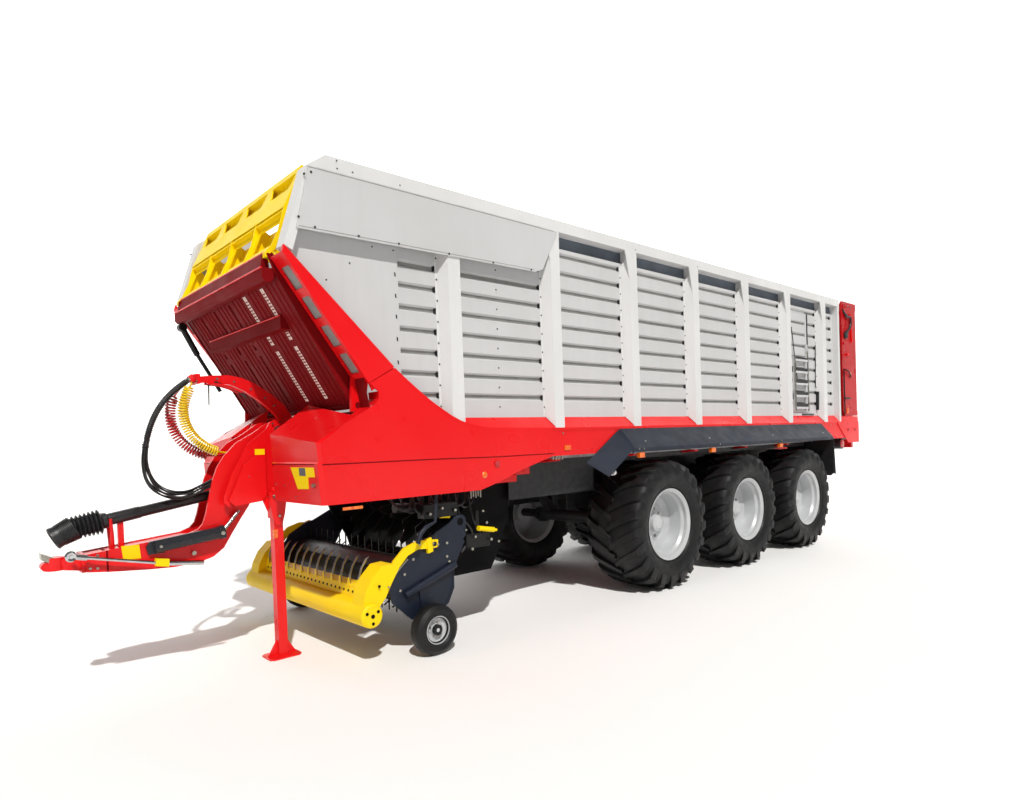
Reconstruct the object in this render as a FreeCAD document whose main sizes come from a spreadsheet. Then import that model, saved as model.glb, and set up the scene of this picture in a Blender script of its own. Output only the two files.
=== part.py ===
"""Tridem loader wagon: forage trailer with pick-up, feed rotor, folding front wall and tailgate.

Frame: +X forward along the drawbar, +Y to the left, +Z up, ground at z = 0, millimetres.
Every driving size is a cell of the sheet "Sizes"; pieces are bound to the cells by formulas,
and lengths that follow from others are written once, in FOLLOWS.
"""
import FreeCAD
import Part
import Sketcher
import math
import os
import re
from FreeCAD import Rotation, Vector

doc = FreeCAD.newDocument("LoaderWagon")
sheet = doc.addObject("Spreadsheet::Sheet", "Sizes")

SIZES = [
    # body
    ("BodyHalf", 1255, "outer face of the wall posts from the middle"),
    ("WallDepth", 140, "side wall from the posts' outer face to the inner face"),
    ("PanelInset", 95, "slatted panels behind the posts' outer face"),
    ("RailTop", 3930, "top of the wall rail above ground"),
    ("RailHeight", 112, "height of the wall rail"),
    ("HeadGap", 240, "from the rail's top down to the panels' top"),
    ("HeadSheet", 15, "thickness of the sheet above the panels"),
    ("PostRear", 2975, "rear edge of the first post"),
    ("PostPitch", 1270, "spacing of the posts"),
    ("PostWidth", 130, "width of a post along the wall"),
    ("SlatCount", 9, "grooves in a panel"),
    ("SlatFoot", 76, "plain strip at the foot of a panel"),
    ("GrooveHeight", 62, "height of a groove at the panel's face"),
    ("GrooveDepth", 26, "depth of a groove"),
    ("PanelMargin", 45, "plain margin between a groove and a post"),
    ("BeamTop", 1877, "top outer edge of the red side beam"),
    ("BeamFoot", 1598, "lower edge of the red side beam"),
    ("ShelfRise", 108, "rise of the red shelf from the beam's edge to the panels"),
    ("BeamFront", 3880, "front end of the red side beam"),
    ("BeamWall", 60, "thickness of the red side beam"),
    ("WallRear", 5190, "rear end of the white walls behind the origin"),
    ("RearEnd", 5920, "rear end of the wagon behind the origin"),
    ("FrontCorner", 4368, "front of the wall below the chamfered top corner"),
    ("FrontChamfer", 155, "length of the chamfer at the top corner"),
    ("BandTopX", 4560, "top of the inclined red band, along the wagon"),
    ("BandTopDrop", 717, "top of the inclined red band below the rail's top"),
    ("BandRearX", 3690, "lower rear corner of the red band, along the wagon"),
    ("BandRearRise", 510, "lower rear corner of the red band above the beam's top"),
    ("BandFootX", 3920, "lower front corner of the red band, along the wagon"),
    ("BandFootRise", 378, "lower front corner of the red band above the beam's top"),
    ("BandFlange", 205, "width of the red band's inward flange"),
    ("SheetSplit", 3570, "joint between the plain front sheet and the first slatted panel"),
    ("EdgeWide", 70, "width of the wall's front edge member"),
    ("SignRear", 1735, "rear end of the sign panel"),
    ("SignDrop", 557, "lower edge of the sign panel below the rail's top"),
    ("SignThick", 14, "thickness of the sign panel with its frame"),
    # load space
    ("FloorTop", 1600, "top of the load floor"),
    ("FloorThick", 35, "thickness of the load floor"),
    ("FloorFront", 2300, "front end of the load floor"),
    ("ChainHalf", 560, "middle of a pair of scraper chains from the middle"),
    ("ScraperPitch", 420, "spacing of the scraper bars"),
    ("ScraperHeight", 32, "height of a scraper bar"),
    # frame
    ("RailHalf", 460, "middle of a frame rail from the middle"),
    ("RailWide", 90, "width of a frame rail"),
    ("RailFoot", 1330, "lower edge of the frame rails"),
    ("RailEnd", 2200, "front end of the frame rails"),
    ("SideInset", 195, "front side members inside the posts' outer face"),
    ("SideFoot", 1370, "lower edge of the front side members"),
    ("CrossX", 3960, "rear face of the front cross beam"),
    ("CrossDepth", 150, "depth of the front cross beam"),
    ("CrossTop", 1640, "top of the front cross beam"),
    ("CheekHalf", 200, "outer face of the neck cheeks from the middle"),
    ("CheekThick", 25, "thickness of a neck cheek"),
    ("BumperDrop", 170, "rear bumper's lower edge below the load floor"),
    # hood
    ("HoodFront", 4350, "front face of the red hood"),
    ("HoodFoot", 1338, "lower edge of the red hood"),
    ("HoodShoulder", 1800, "upper edge of the red hood's front face"),
    ("HoodInner", 430, "inner end of the hood's front face"),
    ("HoodWall", 14, "wall of the red hood"),
    ("HoodCorner", 30, "chamfer at the hood's upright corner"),
    # wheels
    ("AxleFront", 152, "first axle along the wagon"),
    ("AxlePitch", 1810, "spacing of the axles"),
    ("WheelRadius", 742.5, "radius over the lugs"),
    ("TyreWide", 710, "width of a tyre"),
    ("WheelInset", 155, "middle of a wheel inside the posts' outer face"),
    ("RimRadius", 410, "radius over the rim flange"),
    ("RimSeat", 30.5, "height of the rim flange over the bead seat"),
    ("LugHeight", 26, "height of a tyre lug"),
    ("LugWide", 50, "width of a tyre lug"),
    ("LugCount", 18, "lugs on each side of the tread"),
    ("HubRadius", 130, "radius of a wheel hub"),
    ("KingpinHalf", 610, "kingpin from the middle"),
    ("AxleTube", 75, "radius of an axle tube"),
    ("SpindleRadius", 55, "radius of a wheel spindle"),
    ("KingpinRadius", 20, "radius of a kingpin"),
    ("RunClear", 0.3, "gap of a piece that turns on a pin or shaft"),
    ("FaceGap", 0.3, "gap between sheets that lie against each other"),
    # fenders
    ("FenderInnerZ", 1850, "inner edge of the fender"),
    ("FenderOuterZ", 1635, "outer edge of the fender"),
    ("FenderOver", 200, "overhang of the fender beyond the posts"),
    ("FenderFront", 830, "front bend of the fender"),
    ("FenderRear", 4350, "rear bend of the fender behind the origin"),
    ("FenderFlap", 520, "length of the fender's front flap along the wagon"),
    ("FenderThick", 8, "thickness of the fender sheet"),
    # drawbar
    ("PivotX", 4215, "drawbar pivot along the wagon"),
    ("PivotZ", 1930, "drawbar pivot height"),
    ("PivotRadius", 32, "radius of the drawbar pivot pin"),
    ("DrawbarHalf", 120, "half width of the drawbar"),
    ("DrawbarPlate", 25, "thickness of a drawbar cheek"),
    ("HitchX", 5830, "middle of the hitch cup"),
    ("HitchZ", 1000, "height of the hitch"),
    ("HitchTip", 5920, "front tip of the hitch"),
    ("BallRadius", 40.5, "radius of the ball socket"),
    ("SteerOffset", 60, "steering rod outside the drawbar's cheek"),
    ("ShaftDrop", 168, "fall of the drive shaft per metre"),
    ("ShaftRadius", 42, "radius of the drive shaft's guard"),
    # jack
    ("JackX", 4280, "jack leg along the wagon"),
    ("JackY", 262, "jack leg from the middle"),
    ("JackTube", 80, "side of the square jack tube"),
    ("JackTop", 1420, "top of the jack leg"),
    ("JackFoot", 280, "length of the jack's foot plate"),
    ("JackClear", 0.5, "clearance of the jack leg in its sleeve"),
    ("SleeveWall", 8, "wall of the jack's sleeve"),
    # pick-up
    ("LiftX", 2960, "pick-up lift pivot"),
    ("LiftZ", 1060, "pick-up lift pivot height"),
    ("LiftPin", 35, "radius of a lift pin"),
    ("PickupHalf", 1110, "outer face of the pick-up side plates"),
    ("PickupPlate", 20, "thickness of a pick-up side plate"),
    ("ReelX", 3390, "reel axis"),
    ("ReelZ", 585, "reel axis height"),
    ("ReelRadius", 320, "radius over the tine tips"),
    ("ReelDrum", 190, "radius of the reel's drum"),
    ("ReelShaft", 30, "radius of the reel's shaft"),
    ("ReelRows", 6, "rows of tines on the reel"),
    ("TineCount", 18, "tines in a row"),
    ("TineWide", 14, "width of a tine"),
    ("RollerX", 3925, "crop roller axis"),
    ("RollerZ", 420, "crop roller axis height"),
    ("RollerRadius", 96, "radius of the crop roller"),
    ("RollerOver", 46, "crop roller's ends outside the guard's arms"),
    ("GuardX", 3270, "crop guard pivot"),
    ("GuardZ", 905, "crop guard pivot height"),
    ("GuardPin", 20, "radius of the crop guard's pins"),
    ("GuardGap", 6, "gap between the crop guard and the side plates"),
    ("WireCount", 13, "curved wires on the crop guard"),
    ("WireRadius", 7, "radius of a wire"),
    ("GaugeX", 3375, "gauge wheel axle"),
    ("GaugeOut", 125, "middle of a gauge wheel outside the side plates"),
    ("GaugeRadius", 212, "gauge wheel radius"),
    ("GaugeWide", 150, "gauge wheel width"),
    ("GaugeRim", 112, "radius of the gauge wheel's rim"),
    ("GaugeAxle", 16, "radius of a gauge wheel's axle"),
    # rotor
    ("RotorX", 2720, "feed rotor axis"),
    ("RotorZ", 1060, "feed rotor axis height"),
    ("RotorRadius", 395, "feed rotor radius over the tines"),
    ("RotorTube", 150, "feed rotor tube radius"),
    ("RotorShaft", 45, "radius of the feed rotor's shaft"),
    ("RotorHalf", 850, "half length of the feed rotor"),
    ("RotorStars", 9, "tine rows of the feed rotor"),
    ("RotorTeeth", 8, "tines on a star of the feed rotor"),
    ("KnifeCount", 16, "knives in the bank"),
    # front wall
    ("WallPivotX", 3935, "front wall pivot"),
    ("WallPivotZ", 2090, "front wall pivot height"),
    ("WallTopX", 4560, "front wall upper end"),
    ("WallTopZ", 3090, "front wall upper end height"),
    ("WallInset", 215, "front wall's edge inside the posts' outer face"),
    ("WallShaft", 25, "radius of the front wall's shaft"),
    ("StripCount", 5, "perforated strips in the front wall"),
    ("FlapInset", 210, "yellow flap's edge inside the posts' outer face"),
    ("FlapPivotX", 4590, "yellow flap pivot"),
    ("FlapPivotZ", 3185, "yellow flap pivot height"),
    ("FlapPin", 12, "radius of the yellow flap's pins"),
    ("FlapTopX", 4298, "yellow flap upper edge"),
    ("FlapTopDrop", 25, "yellow flap upper edge below the rail's top"),
    ("FlapBays", 4, "windows in the yellow flap"),
    # hoses
    ("HoseRadius", 24, "radius of the bound hydraulic hoses"),
    ("CoilRadius", 42, "radius over the turns of a coiled air line"),
    # access door
    ("DoorHinge", 3435, "hinge line of the access door behind the origin"),
    ("DoorWide", 685, "width of the access door"),
    ("DoorRise", 45, "lower edge of the access door above the panels' lower edge"),
    ("DoorDrop", 90, "upper edge of the access door below the panels' upper edge"),
    ("DoorGap", 6, "gap around the access door"),
    ("DoorPin", 10, "radius of the access door's hinge pins"),
    # tailgate
    ("GateFront", 5290, "front edge of the tailgate's side wings behind the origin"),
    ("GatePivotX", 5400, "tailgate pivot behind the origin"),
    ("GatePivotDrop", 100, "tailgate pivot below the rail's top"),
    ("GatePinRadius", 20, "tailgate pivot pin"),
    ("GateRise", 98, "lower edge of the tailgate's side wings above the side beam"),
    ("GateSheet", 30, "thickness of the tailgate"),
    ("GateRibs", 5, "upright ribs on the tailgate"),
]

for row, (alias, number, note) in enumerate(SIZES, start=1):
    sheet.set(f"A{row}", alias)
    sheet.set(f"B{row}", str(number))
    sheet.set(f"C{row}", note)
    sheet.setAlias(f"B{row}", alias)
doc.recompute()

# lengths that follow from the sizes
FOLLOWS = {
    "WallInner": "BodyHalf - WallDepth",
    "PanelFace": "BodyHalf - PanelInset",
    "PanelTop": "RailTop - HeadGap",
    "PanelFoot": "BeamTop + ShelfRise",
    "SlatPitch": "(PanelTop - PanelFoot - SlatFoot) / SlatCount",
    "RailUnder": "RailTop - RailHeight",
    "BandTopZ": "RailTop - BandTopDrop",
    "BandRearZ": "BeamTop + BandRearRise",
    "BandFootZ": "BeamTop + BandFootRise",
    "SideHalf": "BodyHalf - SideInset",
    "FloorUnder": "FloorTop - FloorThick",
    "CrossFront": "CrossX + CrossDepth",
    "HoodSide": "BodyHalf + HoodWall",
    "WheelHalf": "BodyHalf - WheelInset",
    "FenderHalf": "BodyHalf + FenderOver",
    "GaugeHalf": "PickupHalf + GaugeOut",
    "FrontHalf": "BodyHalf - WallInset",
    "FlapHalf": "BodyHalf - FlapInset",
    "GatePivotZ": "RailTop - GatePivotDrop",
    "SteerY": "DrawbarHalf + SteerOffset",
    "SleeveHalf": "JackTube/2 + JackClear + SleeveWall",
    "DoorRear": "DoorHinge + DoorWide",
    "DoorFoot": "PanelFoot + DoorRise",
    "DoorTop": "PanelTop - DoorDrop",
    "FlapTopZ": "RailTop - FlapTopDrop",
    "GateFoot": "BeamTop + GateRise",
    "DoorPinY": "PanelFace + 15",
}

TO_AXIS = {"X": Rotation(Vector(0, 1, 0), 90), "Y": Rotation(Vector(1, 0, 0), -90), "Z": Rotation()}
nodes = []


def bound(text):
    """A formula with lengths that follow written out and the sheet's name put before each alias."""
    def written(match):
        name = match.group(1)
        return f"({bound(FOLLOWS[name])})" if name in FOLLOWS else f"Sizes.{name}"
    return re.sub(r"\b([A-Z][A-Za-z]+)\b", written, str(text))


def value(text):
    """The number that a formula gives."""
    return float(sheet.evalExpression(bound(text)))


def point(x, y, z):
    return Vector(value(x), value(y), value(z))


def signed(side, low, high):
    """A range of formulas on the left (1) or its mirror image on the right (-1)."""
    return (low, high) if side > 0 else (f"-({high})", f"-({low})")


def box(name, x, y, z):
    """A block from a low to a high formula along each axis."""
    item = doc.addObject("Part::Box", name)
    for side, (low, high) in zip(("Length", "Width", "Height"), (x, y, z)):
        item.setExpression(side, bound(f"({high}) - ({low})"))
    for axis, (low, high) in zip("xyz", (x, y, z)):
        item.setExpression(f"Placement.Base.{axis}", bound(low))
    return item


def rod(name, axis, radius, start, end, across):
    """A round bar along an axis, from start to end, at two formulas across it."""
    item = doc.addObject("Part::Cylinder", name)
    item.Placement.Rotation = TO_AXIS[axis]
    item.setExpression("Radius", bound(radius))
    item.setExpression("Height", bound(f"({end}) - ({start})"))
    others = iter(across)
    for letter in "XYZ":
        place = start if letter == axis else next(others)
        item.setExpression(f"Placement.Base.{letter.lower()}", bound(place))
    return item


def ball(name, radius, x, y, z):
    item = doc.addObject("Part::Sphere", name)
    item.setExpression("Radius", bound(radius))
    for axis, place in zip("xyz", (x, y, z)):
        item.setExpression(f"Placement.Base.{axis}", bound(place))
    return item


def profile(body, name, outline, role):
    """A closed sketch on one of the body's own planes, each corner bound to its two formulas."""
    sketch = body.newObject("Sketcher::SketchObject", name)
    plane = [item for item in body.Origin.OriginFeatures if item.Role == role][0]
    sketch.AttachmentSupport = [(plane, "")]
    sketch.MapMode = "FlatFace"
    corners = [Vector(value(x), value(z), 0) for x, z in outline]
    for index, corner in enumerate(corners):
        sketch.addGeometry(Part.LineSegment(corner, corners[(index + 1) % len(corners)]), False)
    rules = []
    for index in range(len(corners)):
        rules.append(Sketcher.Constraint("Coincident", index, 2, (index + 1) % len(corners), 1))
    for index, corner in enumerate(corners):
        rules.append(Sketcher.Constraint("DistanceX", -1, 1, index, 1, corner.x))
        rules.append(Sketcher.Constraint("DistanceY", -1, 1, index, 1, corner.y))
    sketch.addConstraint(rules)
    for index, (x, z) in enumerate(outline):
        first = len(corners) + 2 * index
        sketch.setExpression(f"Constraints[{first}]", bound(x))
        sketch.setExpression(f"Constraints[{first + 1}]", bound(z))
    return sketch


def plate(name, outline, low, high, across="Y"):
    """A plate padded from low to high: its outline is (x, z) across Y, (y, z) across X, (x, y) across Z."""
    body = doc.addObject("PartDesign::Body", name)
    role = {"Y": "XZ_Plane", "X": "YZ_Plane", "Z": "XY_Plane"}[across]
    pad = body.newObject("PartDesign::Pad", name + "Pad")
    pad.Profile = profile(body, name + "Sketch", outline, role)
    pad.setExpression("Length", bound(f"({high}) - ({low})"))
    if across == "Y":
        body.setExpression("Placement.Base.y", bound(high))
    else:
        body.setExpression(f"Placement.Base.{across.lower()}", bound(low))
    return body


def turned(name, outline, x="0", y="0", z="0"):
    """A piece turned about a line across the wagon through (x, z): its outline is (radius, y)."""
    body = doc.addObject("PartDesign::Body", name)
    sketch = profile(body, name + "Sketch", outline, "XY_Plane")
    turn = body.newObject("PartDesign::Revolution", name + "Turn")
    turn.Profile = sketch
    turn.ReferenceAxis = (sketch, ["V_Axis"])
    turn.Angle = 360
    for axis, place in zip("xyz", (x, y, z)):
        body.setExpression(f"Placement.Base.{axis}", bound(place))
    return body


def loft(name, sections):
    """A body drawn through (x, z) outlines that stand across the wagon: sections are (y, outline)."""
    body = doc.addObject("PartDesign::Body", name)
    sketches = []
    for index, (place, outline) in enumerate(sections):
        sketch = profile(body, f"{name}Section{index}", outline, "XZ_Plane")
        sketch.setExpression("AttachmentOffset.Base.z", bound(f"-({place})"))
        sketches.append(sketch)
    skin = body.newObject("PartDesign::AdditiveLoft", name + "Loft")
    skin.Profile = sketches[0]
    skin.Sections = sketches[1:]
    skin.Ruled = True
    return body


def polar(body, feature, count):
    """Repeats a feature of a turned body round the line across the wagon."""
    axis = [item for item in body.Origin.OriginFeatures if item.Role == "Y_Axis"][0]
    pattern = body.newObject("PartDesign::PolarPattern", feature.Name + "Round")
    pattern.Originals = [feature]
    pattern.Axis = (axis, [""])
    pattern.Angle = 360
    pattern.setExpression("Occurrences", bound(count))
    body.Tip = pattern
    return pattern


def shaped(name, shape):
    """A piece whose shape is made with Part's own functions."""
    item = doc.addObject("Part::Feature", name)
    item.Shape = shape
    return item


def bar(name, start, end, radius):
    """A round bar between two points given by formulas."""
    first = point(*start)
    last = point(*end)
    return shaped(name, Part.makeCylinder(value(radius), (last - first).Length, first, last - first))


def beam(name, start, end, wide, deep, low=0.0, high=1.0):
    """A square bar between two points, or a stretch of it; wide is across the wagon."""
    first = point(*start)
    run = point(*end) - first
    solid = Part.makeBox(value(deep), value(wide), run.Length * (high - low),
                         Vector(-value(deep) / 2, -value(wide) / 2, 0))
    solid.Placement = FreeCAD.Placement(first + run * low, Rotation(Vector(0, 0, 1), run))
    return shaped(name, solid)


def pipe(name, route, radius):
    """A hose of straight runs joined by tangent arcs, along points given by formulas."""
    points = [point(*place) for place in route]
    edges = []
    start = points[0]
    for before, corner, after in zip(points, points[1:], points[2:]):
        into = (corner - before).normalize()
        out = (after - corner).normalize()
        half = into.getAngle(out) / 2
        reach = 0.45 * min((corner - before).Length, (after - corner).Length)
        bend = reach / math.tan(half)
        first = corner - into * reach
        last = corner + out * reach
        inward = (out - into).normalize()
        middle = corner + inward * (bend / math.cos(half) - bend)
        edges.append(Part.LineSegment(start, first).toShape())
        edges.append(Part.Arc(first, middle, last).toShape())
        start = last
        print(f"  {name}: bend radius {bend:.0f}")
    edges.append(Part.LineSegment(start, points[-1]).toShape())
    path = Part.Wire(edges)
    ring = Part.Wire([Part.makeCircle(value(radius), points[0], points[1] - points[0])])
    solid = path.makePipeShell([ring], True, True)
    print(f"  {name}: length {path.Length:.0f}, volume ratio",
          round(solid.Volume / (math.pi * value(radius) ** 2 * path.Length), 4))
    return shaped(name, solid)


def fuse(name, pieces):
    item = doc.addObject("Part::MultiFuse", name)
    item.Shapes = pieces
    return item


def cut(name, base, tool):
    item = doc.addObject("Part::Cut", name)
    item.Base = base
    item.Tool = tool
    return item


def group(name, pieces):
    """Solids that don't touch, kept together as one piece."""
    item = doc.addObject("Part::Compound", name)
    item.Links = pieces
    return item


def mirrored(name, source):
    """The same piece on the right-hand side."""
    item = doc.addObject("Part::Mirroring", name)
    item.Source = source
    item.Normal = Vector(0, 1, 0)
    return item


def node(label, item):
    """Names a finished piece."""
    item.Label = label
    nodes.append(item)
    return item


def both_sides(label, item):
    node(label + "_left", item)
    node(label + "_right", mirrored(label.title().replace("_", "") + "Right", item))


POSTS = 7
DOOR_BAY = 5


def post_rear(index):
    return f"PostRear - {index}*PostPitch"


# ---------------------------------------------------------------- side walls
def wall_frame():
    """The rail, the posts that widen to the rail and lean out to the sill, and the inclined front edge."""
    pieces = [plate("WallRail", [
        ("-WallRear", "RailUnder"), ("FrontCorner", "RailUnder"), ("FrontCorner - FrontChamfer", "RailTop"),
        ("-WallRear", "RailTop")], "WallInner", "BodyHalf")]
    section = [("WallInner", "PanelFoot"), ("PanelFace", "PanelFoot"), ("BodyHalf", "BeamTop"),
               ("BodyHalf", "RailUnder"), ("WallInner", "RailUnder")]
    for index in range(POSTS):
        rear = post_rear(index)
        pieces.append(plate(f"Post{index}", section, rear, f"{rear} + PostWidth", "X"))
        pieces.append(plate(f"PostHead{index}", [
            (f"{rear} + PostWidth", "RailUnder - 330"), (f"{rear} + PostWidth + 75", "RailUnder"),
            (f"{rear} + PostWidth", "RailUnder")], "BodyHalf - 12", "BodyHalf"))
    pieces.append(plate("PostEnd", section, "-WallRear", "-WallRear + PostWidth/2", "X"))
    pieces.append(plate("WallEdge", [
        ("FrontCorner - EdgeWide", "RailUnder"), ("FrontCorner", "RailUnder"), ("BandTopX", "BandTopZ"),
        ("BandTopX - EdgeWide + 8", "BandTopZ - 30")], "WallInner", "BodyHalf"))
    pieces.append(box("GateArm", ("-GatePivotX - 45", "-WallRear"), ("WallInner", "BodyHalf - GateSheet - 6"),
                      ("GatePivotZ - 50", "GatePivotZ + 50")))
    pieces.append(rod("GatePin", "Y", "GatePinRadius", "WallInner + 10", "BodyHalf", ("-GatePivotX", "GatePivotZ")))
    frame = fuse("WallFrame", pieces)
    node("wall_frame_right", mirrored("WallFrameRight", frame))
    hinges = [frame]
    for index, share in enumerate(("0.2", "0.8")):
        middle = f"DoorFoot + {share}*(DoorTop - DoorFoot)"
        for end in (-1, 1):
            hinges.append(box(f"HingeTab{index}_{end + 1}", ("-DoorHinge - DoorPin - 6", f"{post_rear(DOOR_BAY)} + 5"),
                              ("PanelFace + FaceGap", "DoorPinY + DoorPin + 6"),
                              (f"{middle} + {end}*50 - 8", f"{middle} + {end}*50 + 8")))
        hinges.append(rod(f"HingePin{index}", "Z", "DoorPin", f"{middle} - 50", f"{middle} + 50",
                          ("-DoorHinge", "DoorPinY")))
    node("wall_frame_left", fuse("WallFrameLeft", hinges))


def groove_cutters(name, rear, front):
    """Bars with sloping sides that press the grooves into a panel between two formulas."""
    cutters = []
    for index in range(int(value("SlatCount"))):
        top = f"PanelTop - SlatFoot/2 - {index}*SlatPitch"
        cutters.append(plate(f"{name}Groove{index}", [
            ("PanelFace + 1", f"{top} + 1"), ("PanelFace + 1", f"{top} - GrooveHeight - 1"),
            ("PanelFace - GrooveDepth", f"{top} - GrooveHeight + 18"), ("PanelFace - GrooveDepth", f"{top} - 14")],
            rear, front, "X"))
    return cutters


def wall_panels():
    """A pressed panel in each bay, the plain sheet in front of them and the strip above."""
    bays = []
    cutters = []
    for index in range(POSTS):
        front = f"PostRear - {index}*PostPitch"
        rear = f"PostRear - {index + 1}*PostPitch + PostWidth" if index < POSTS - 1 else "-WallRear + PostWidth/2"
        bays.append(box(f"Bay{index}", (rear, front), ("WallInner", "PanelFace"), ("PanelFoot", "PanelTop")))
        cutters += groove_cutters(f"Bay{index}", f"{rear} + PanelMargin", f"{front} - 10")
    bays.append(box("BayFront", ("PostRear + PostWidth", "SheetSplit"), ("WallInner", "PanelFace"),
                    ("PanelFoot", "PanelTop")))
    cutters += groove_cutters("BayFront", "PostRear + PostWidth + PanelMargin", "SheetSplit - 15")
    head = box("HeadStrip", ("-WallRear + PostWidth/2", "SheetSplit"), ("WallInner", "WallInner + HeadSheet"),
               ("PanelTop", "RailUnder"))
    posts = fuse("PostSlots", [
        box(f"PostSlot{index}", (post_rear(index), f"{post_rear(index)} + PostWidth"), ("WallInner - 5", "PanelFace"),
            ("PanelTop - 5", "RailUnder + 5")) for index in range(POSTS)])
    strips = cut("HeadStrips", head, posts)
    slatted = cut("WallPanels", fuse("Bays", bays + [strips]), fuse("Grooves", cutters))
    front = plate("FrontSheet", [
        ("SheetSplit", "RailUnder"), ("FrontCorner - EdgeWide", "RailUnder"),
        ("BandTopX - EdgeWide + 8", "BandTopZ - 30"), ("BandRearX", "BandRearZ"), ("SheetSplit", "BandRearZ - 120")],
        "PanelFace - 20", "PanelFace + 20")
    right = group("WallPanelsAll", [slatted, front])
    node("wall_panels_right", mirrored("WallPanelsRight", right))
    opening = box("DoorOpening", ("-DoorRear - DoorGap", "-DoorHinge + DoorGap"), ("WallInner - 5", "PanelFace + 5"),
                  ("DoorFoot - DoorGap", "DoorTop + DoorGap"))
    node("wall_panels_left", group("WallPanelsLeft", [cut("PanelsWithDoorway", slatted, opening), front]))
    sign = [
        ("FrontCorner - 12", "RailUnder - 8"), ("FrontCorner + 100", "RailTop - 585"),
        ("SignRear + 320", "RailTop - SignDrop"), ("SignRear + 225", "RailTop - SignDrop + 37"),
        ("SignRear", "RailUnder - 8")]
    left = plate("SignPanel", sign, "BodyHalf + FaceGap", "BodyHalf + SignThick")
    node("sign_panels", group("SignPanels", [left, mirrored("SignPanelRight", left)]))


def access_door():
    """A pressed door leaf with two hinge eyes and a folding ladder on its lower half."""
    leaf = box("DoorLeaf", ("-DoorRear", "-DoorHinge"), ("WallInner", "PanelFace"), ("DoorFoot", "DoorTop"))
    pressed = cut("DoorPressed", leaf, fuse("DoorGrooves", groove_cutters(
        "Door", "-DoorRear + PanelMargin", "-DoorHinge - PanelMargin")))
    corner = box("DoorCorner", ("-DoorHinge - 24", "-DoorHinge + 1"), ("PanelFace - 24", "PanelFace + 1"),
                 ("DoorFoot - 1", "DoorTop + 1"))
    pieces = [cut("DoorSheet", pressed, corner)]
    for index, share in enumerate(("0.2", "0.8")):
        middle = f"DoorFoot + {share}*(DoorTop - DoorFoot)"
        pieces.append(rod(f"DoorEye{index}", "Z", "DoorPin + 6", f"{middle} - 36", f"{middle} + 36",
                          ("-DoorHinge", "DoorPinY")))
        pieces.append(box(f"DoorStrap{index}", ("-DoorHinge - 120", "-DoorHinge"), ("PanelFace - 2", "PanelFace + 8"),
                          (f"{middle} - 30", f"{middle} + 30")))
    for side, place in enumerate(("-DoorRear + 90", "-DoorHinge - 190")):
        pieces.append(box(f"LadderRail{side}", (place, f"{place} + 28"), ("PanelFace", "PanelFace + 26"),
                          ("DoorFoot + 30", "DoorFoot + 880")))
    for step in range(5):
        pieces.append(box(f"LadderStep{step}", ("-DoorRear + 90", "-DoorHinge - 162"), ("PanelFace + 14", "PanelFace + 52"),
                          (f"DoorFoot + 60 + {step}*185", f"DoorFoot + 92 + {step}*185")))
    pieces.append(box("DoorLatch", ("-DoorRear + 30", "-DoorRear + 62"), ("PanelFace", "PanelFace + 30"),
                      ("DoorFoot + 940", "DoorFoot + 1080")))
    bore = rod("DoorBore", "Z", "DoorPin + RunClear", "DoorFoot", "DoorTop", ("-DoorHinge", "DoorPinY"))
    node("access_door", cut("AccessDoor", fuse("AccessDoorWhole", pieces), bore))


def side_beams():
    """The outer sill: a web, a ledge that slopes up to the panels, and the rear corner block."""
    web = box("SideWeb", ("-RearEnd", "BeamFront"), ("BodyHalf - BeamWall", "BodyHalf"), ("BeamFoot", "BeamTop"))
    ledge = plate("SideLedge", [
        ("WallInner", "FloorTop"), ("BodyHalf - BeamWall", "FloorTop"), ("BodyHalf", "BeamTop"),
        ("PanelFace", "PanelFoot"), ("WallInner", "PanelFoot")], "-RearEnd + GateSheet + 8", "BeamFront", "X")
    corner = plate("RearCorner", [
        ("-RearEnd", "BeamTop"), ("-WallRear", "BeamTop"), ("-WallRear", "GateFoot - 8"), ("-RearEnd", "GateFoot - 8")],
        "BodyHalf - BeamWall", "BodyHalf")
    apron = plate("RearApron", [
        ("-RearEnd", "BeamFoot - 85"), ("-WallRear - 260", "BeamFoot - 85"), ("-WallRear + 180", "BeamTop - 30"),
        ("-WallRear + 180", "BeamTop"), ("-RearEnd", "BeamTop")], "BodyHalf", "BodyHalf + 12")
    lip = box("SillLip", ("-WallRear + 200", "1880"), ("BodyHalf", "BodyHalf + 8"), ("BeamTop - 26", "BeamTop - 6"))
    left = fuse("SideBeam", [web, ledge, corner, apron, lip])
    node("side_beams", group("SideBeams", [left, mirrored("SideBeamRight", left)]))


# ---------------------------------------------------------------- floor and frame
def load_floor():
    node("load_floor", box("Deck", ("-RearEnd + 60", "FloorFront"), ("-WallInner + FaceGap", "WallInner - FaceGap"),
                           ("FloorUnder", "FloorTop")))
    bars = []
    count = int(value("(FloorFront + RearEnd - 300) / ScraperPitch"))
    for index in range(count):
        front = f"FloorFront - 120 - {index}*ScraperPitch"
        for side in (-1, 1):
            bars.append(box(f"Scraper{index}_{side + 1}", (f"{front} - 40", front),
                            signed(side, "20", "WallInner - 40"), ("FloorTop", "FloorTop + ScraperHeight")))
    chains = []
    for side in (-1, 1):
        for part in (-1, 1):
            middle = f"ChainHalf + {part}*280"
            chains.append(box(f"Chain{side + 1}_{part + 1}", ("-RearEnd + 150", "FloorFront - 60"),
                              signed(side, f"{middle} - 22", f"{middle} + 22"), ("FloorTop", "FloorTop + 20")))
    node("scraper_floor", fuse("ScraperFloor", bars + chains))


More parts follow.
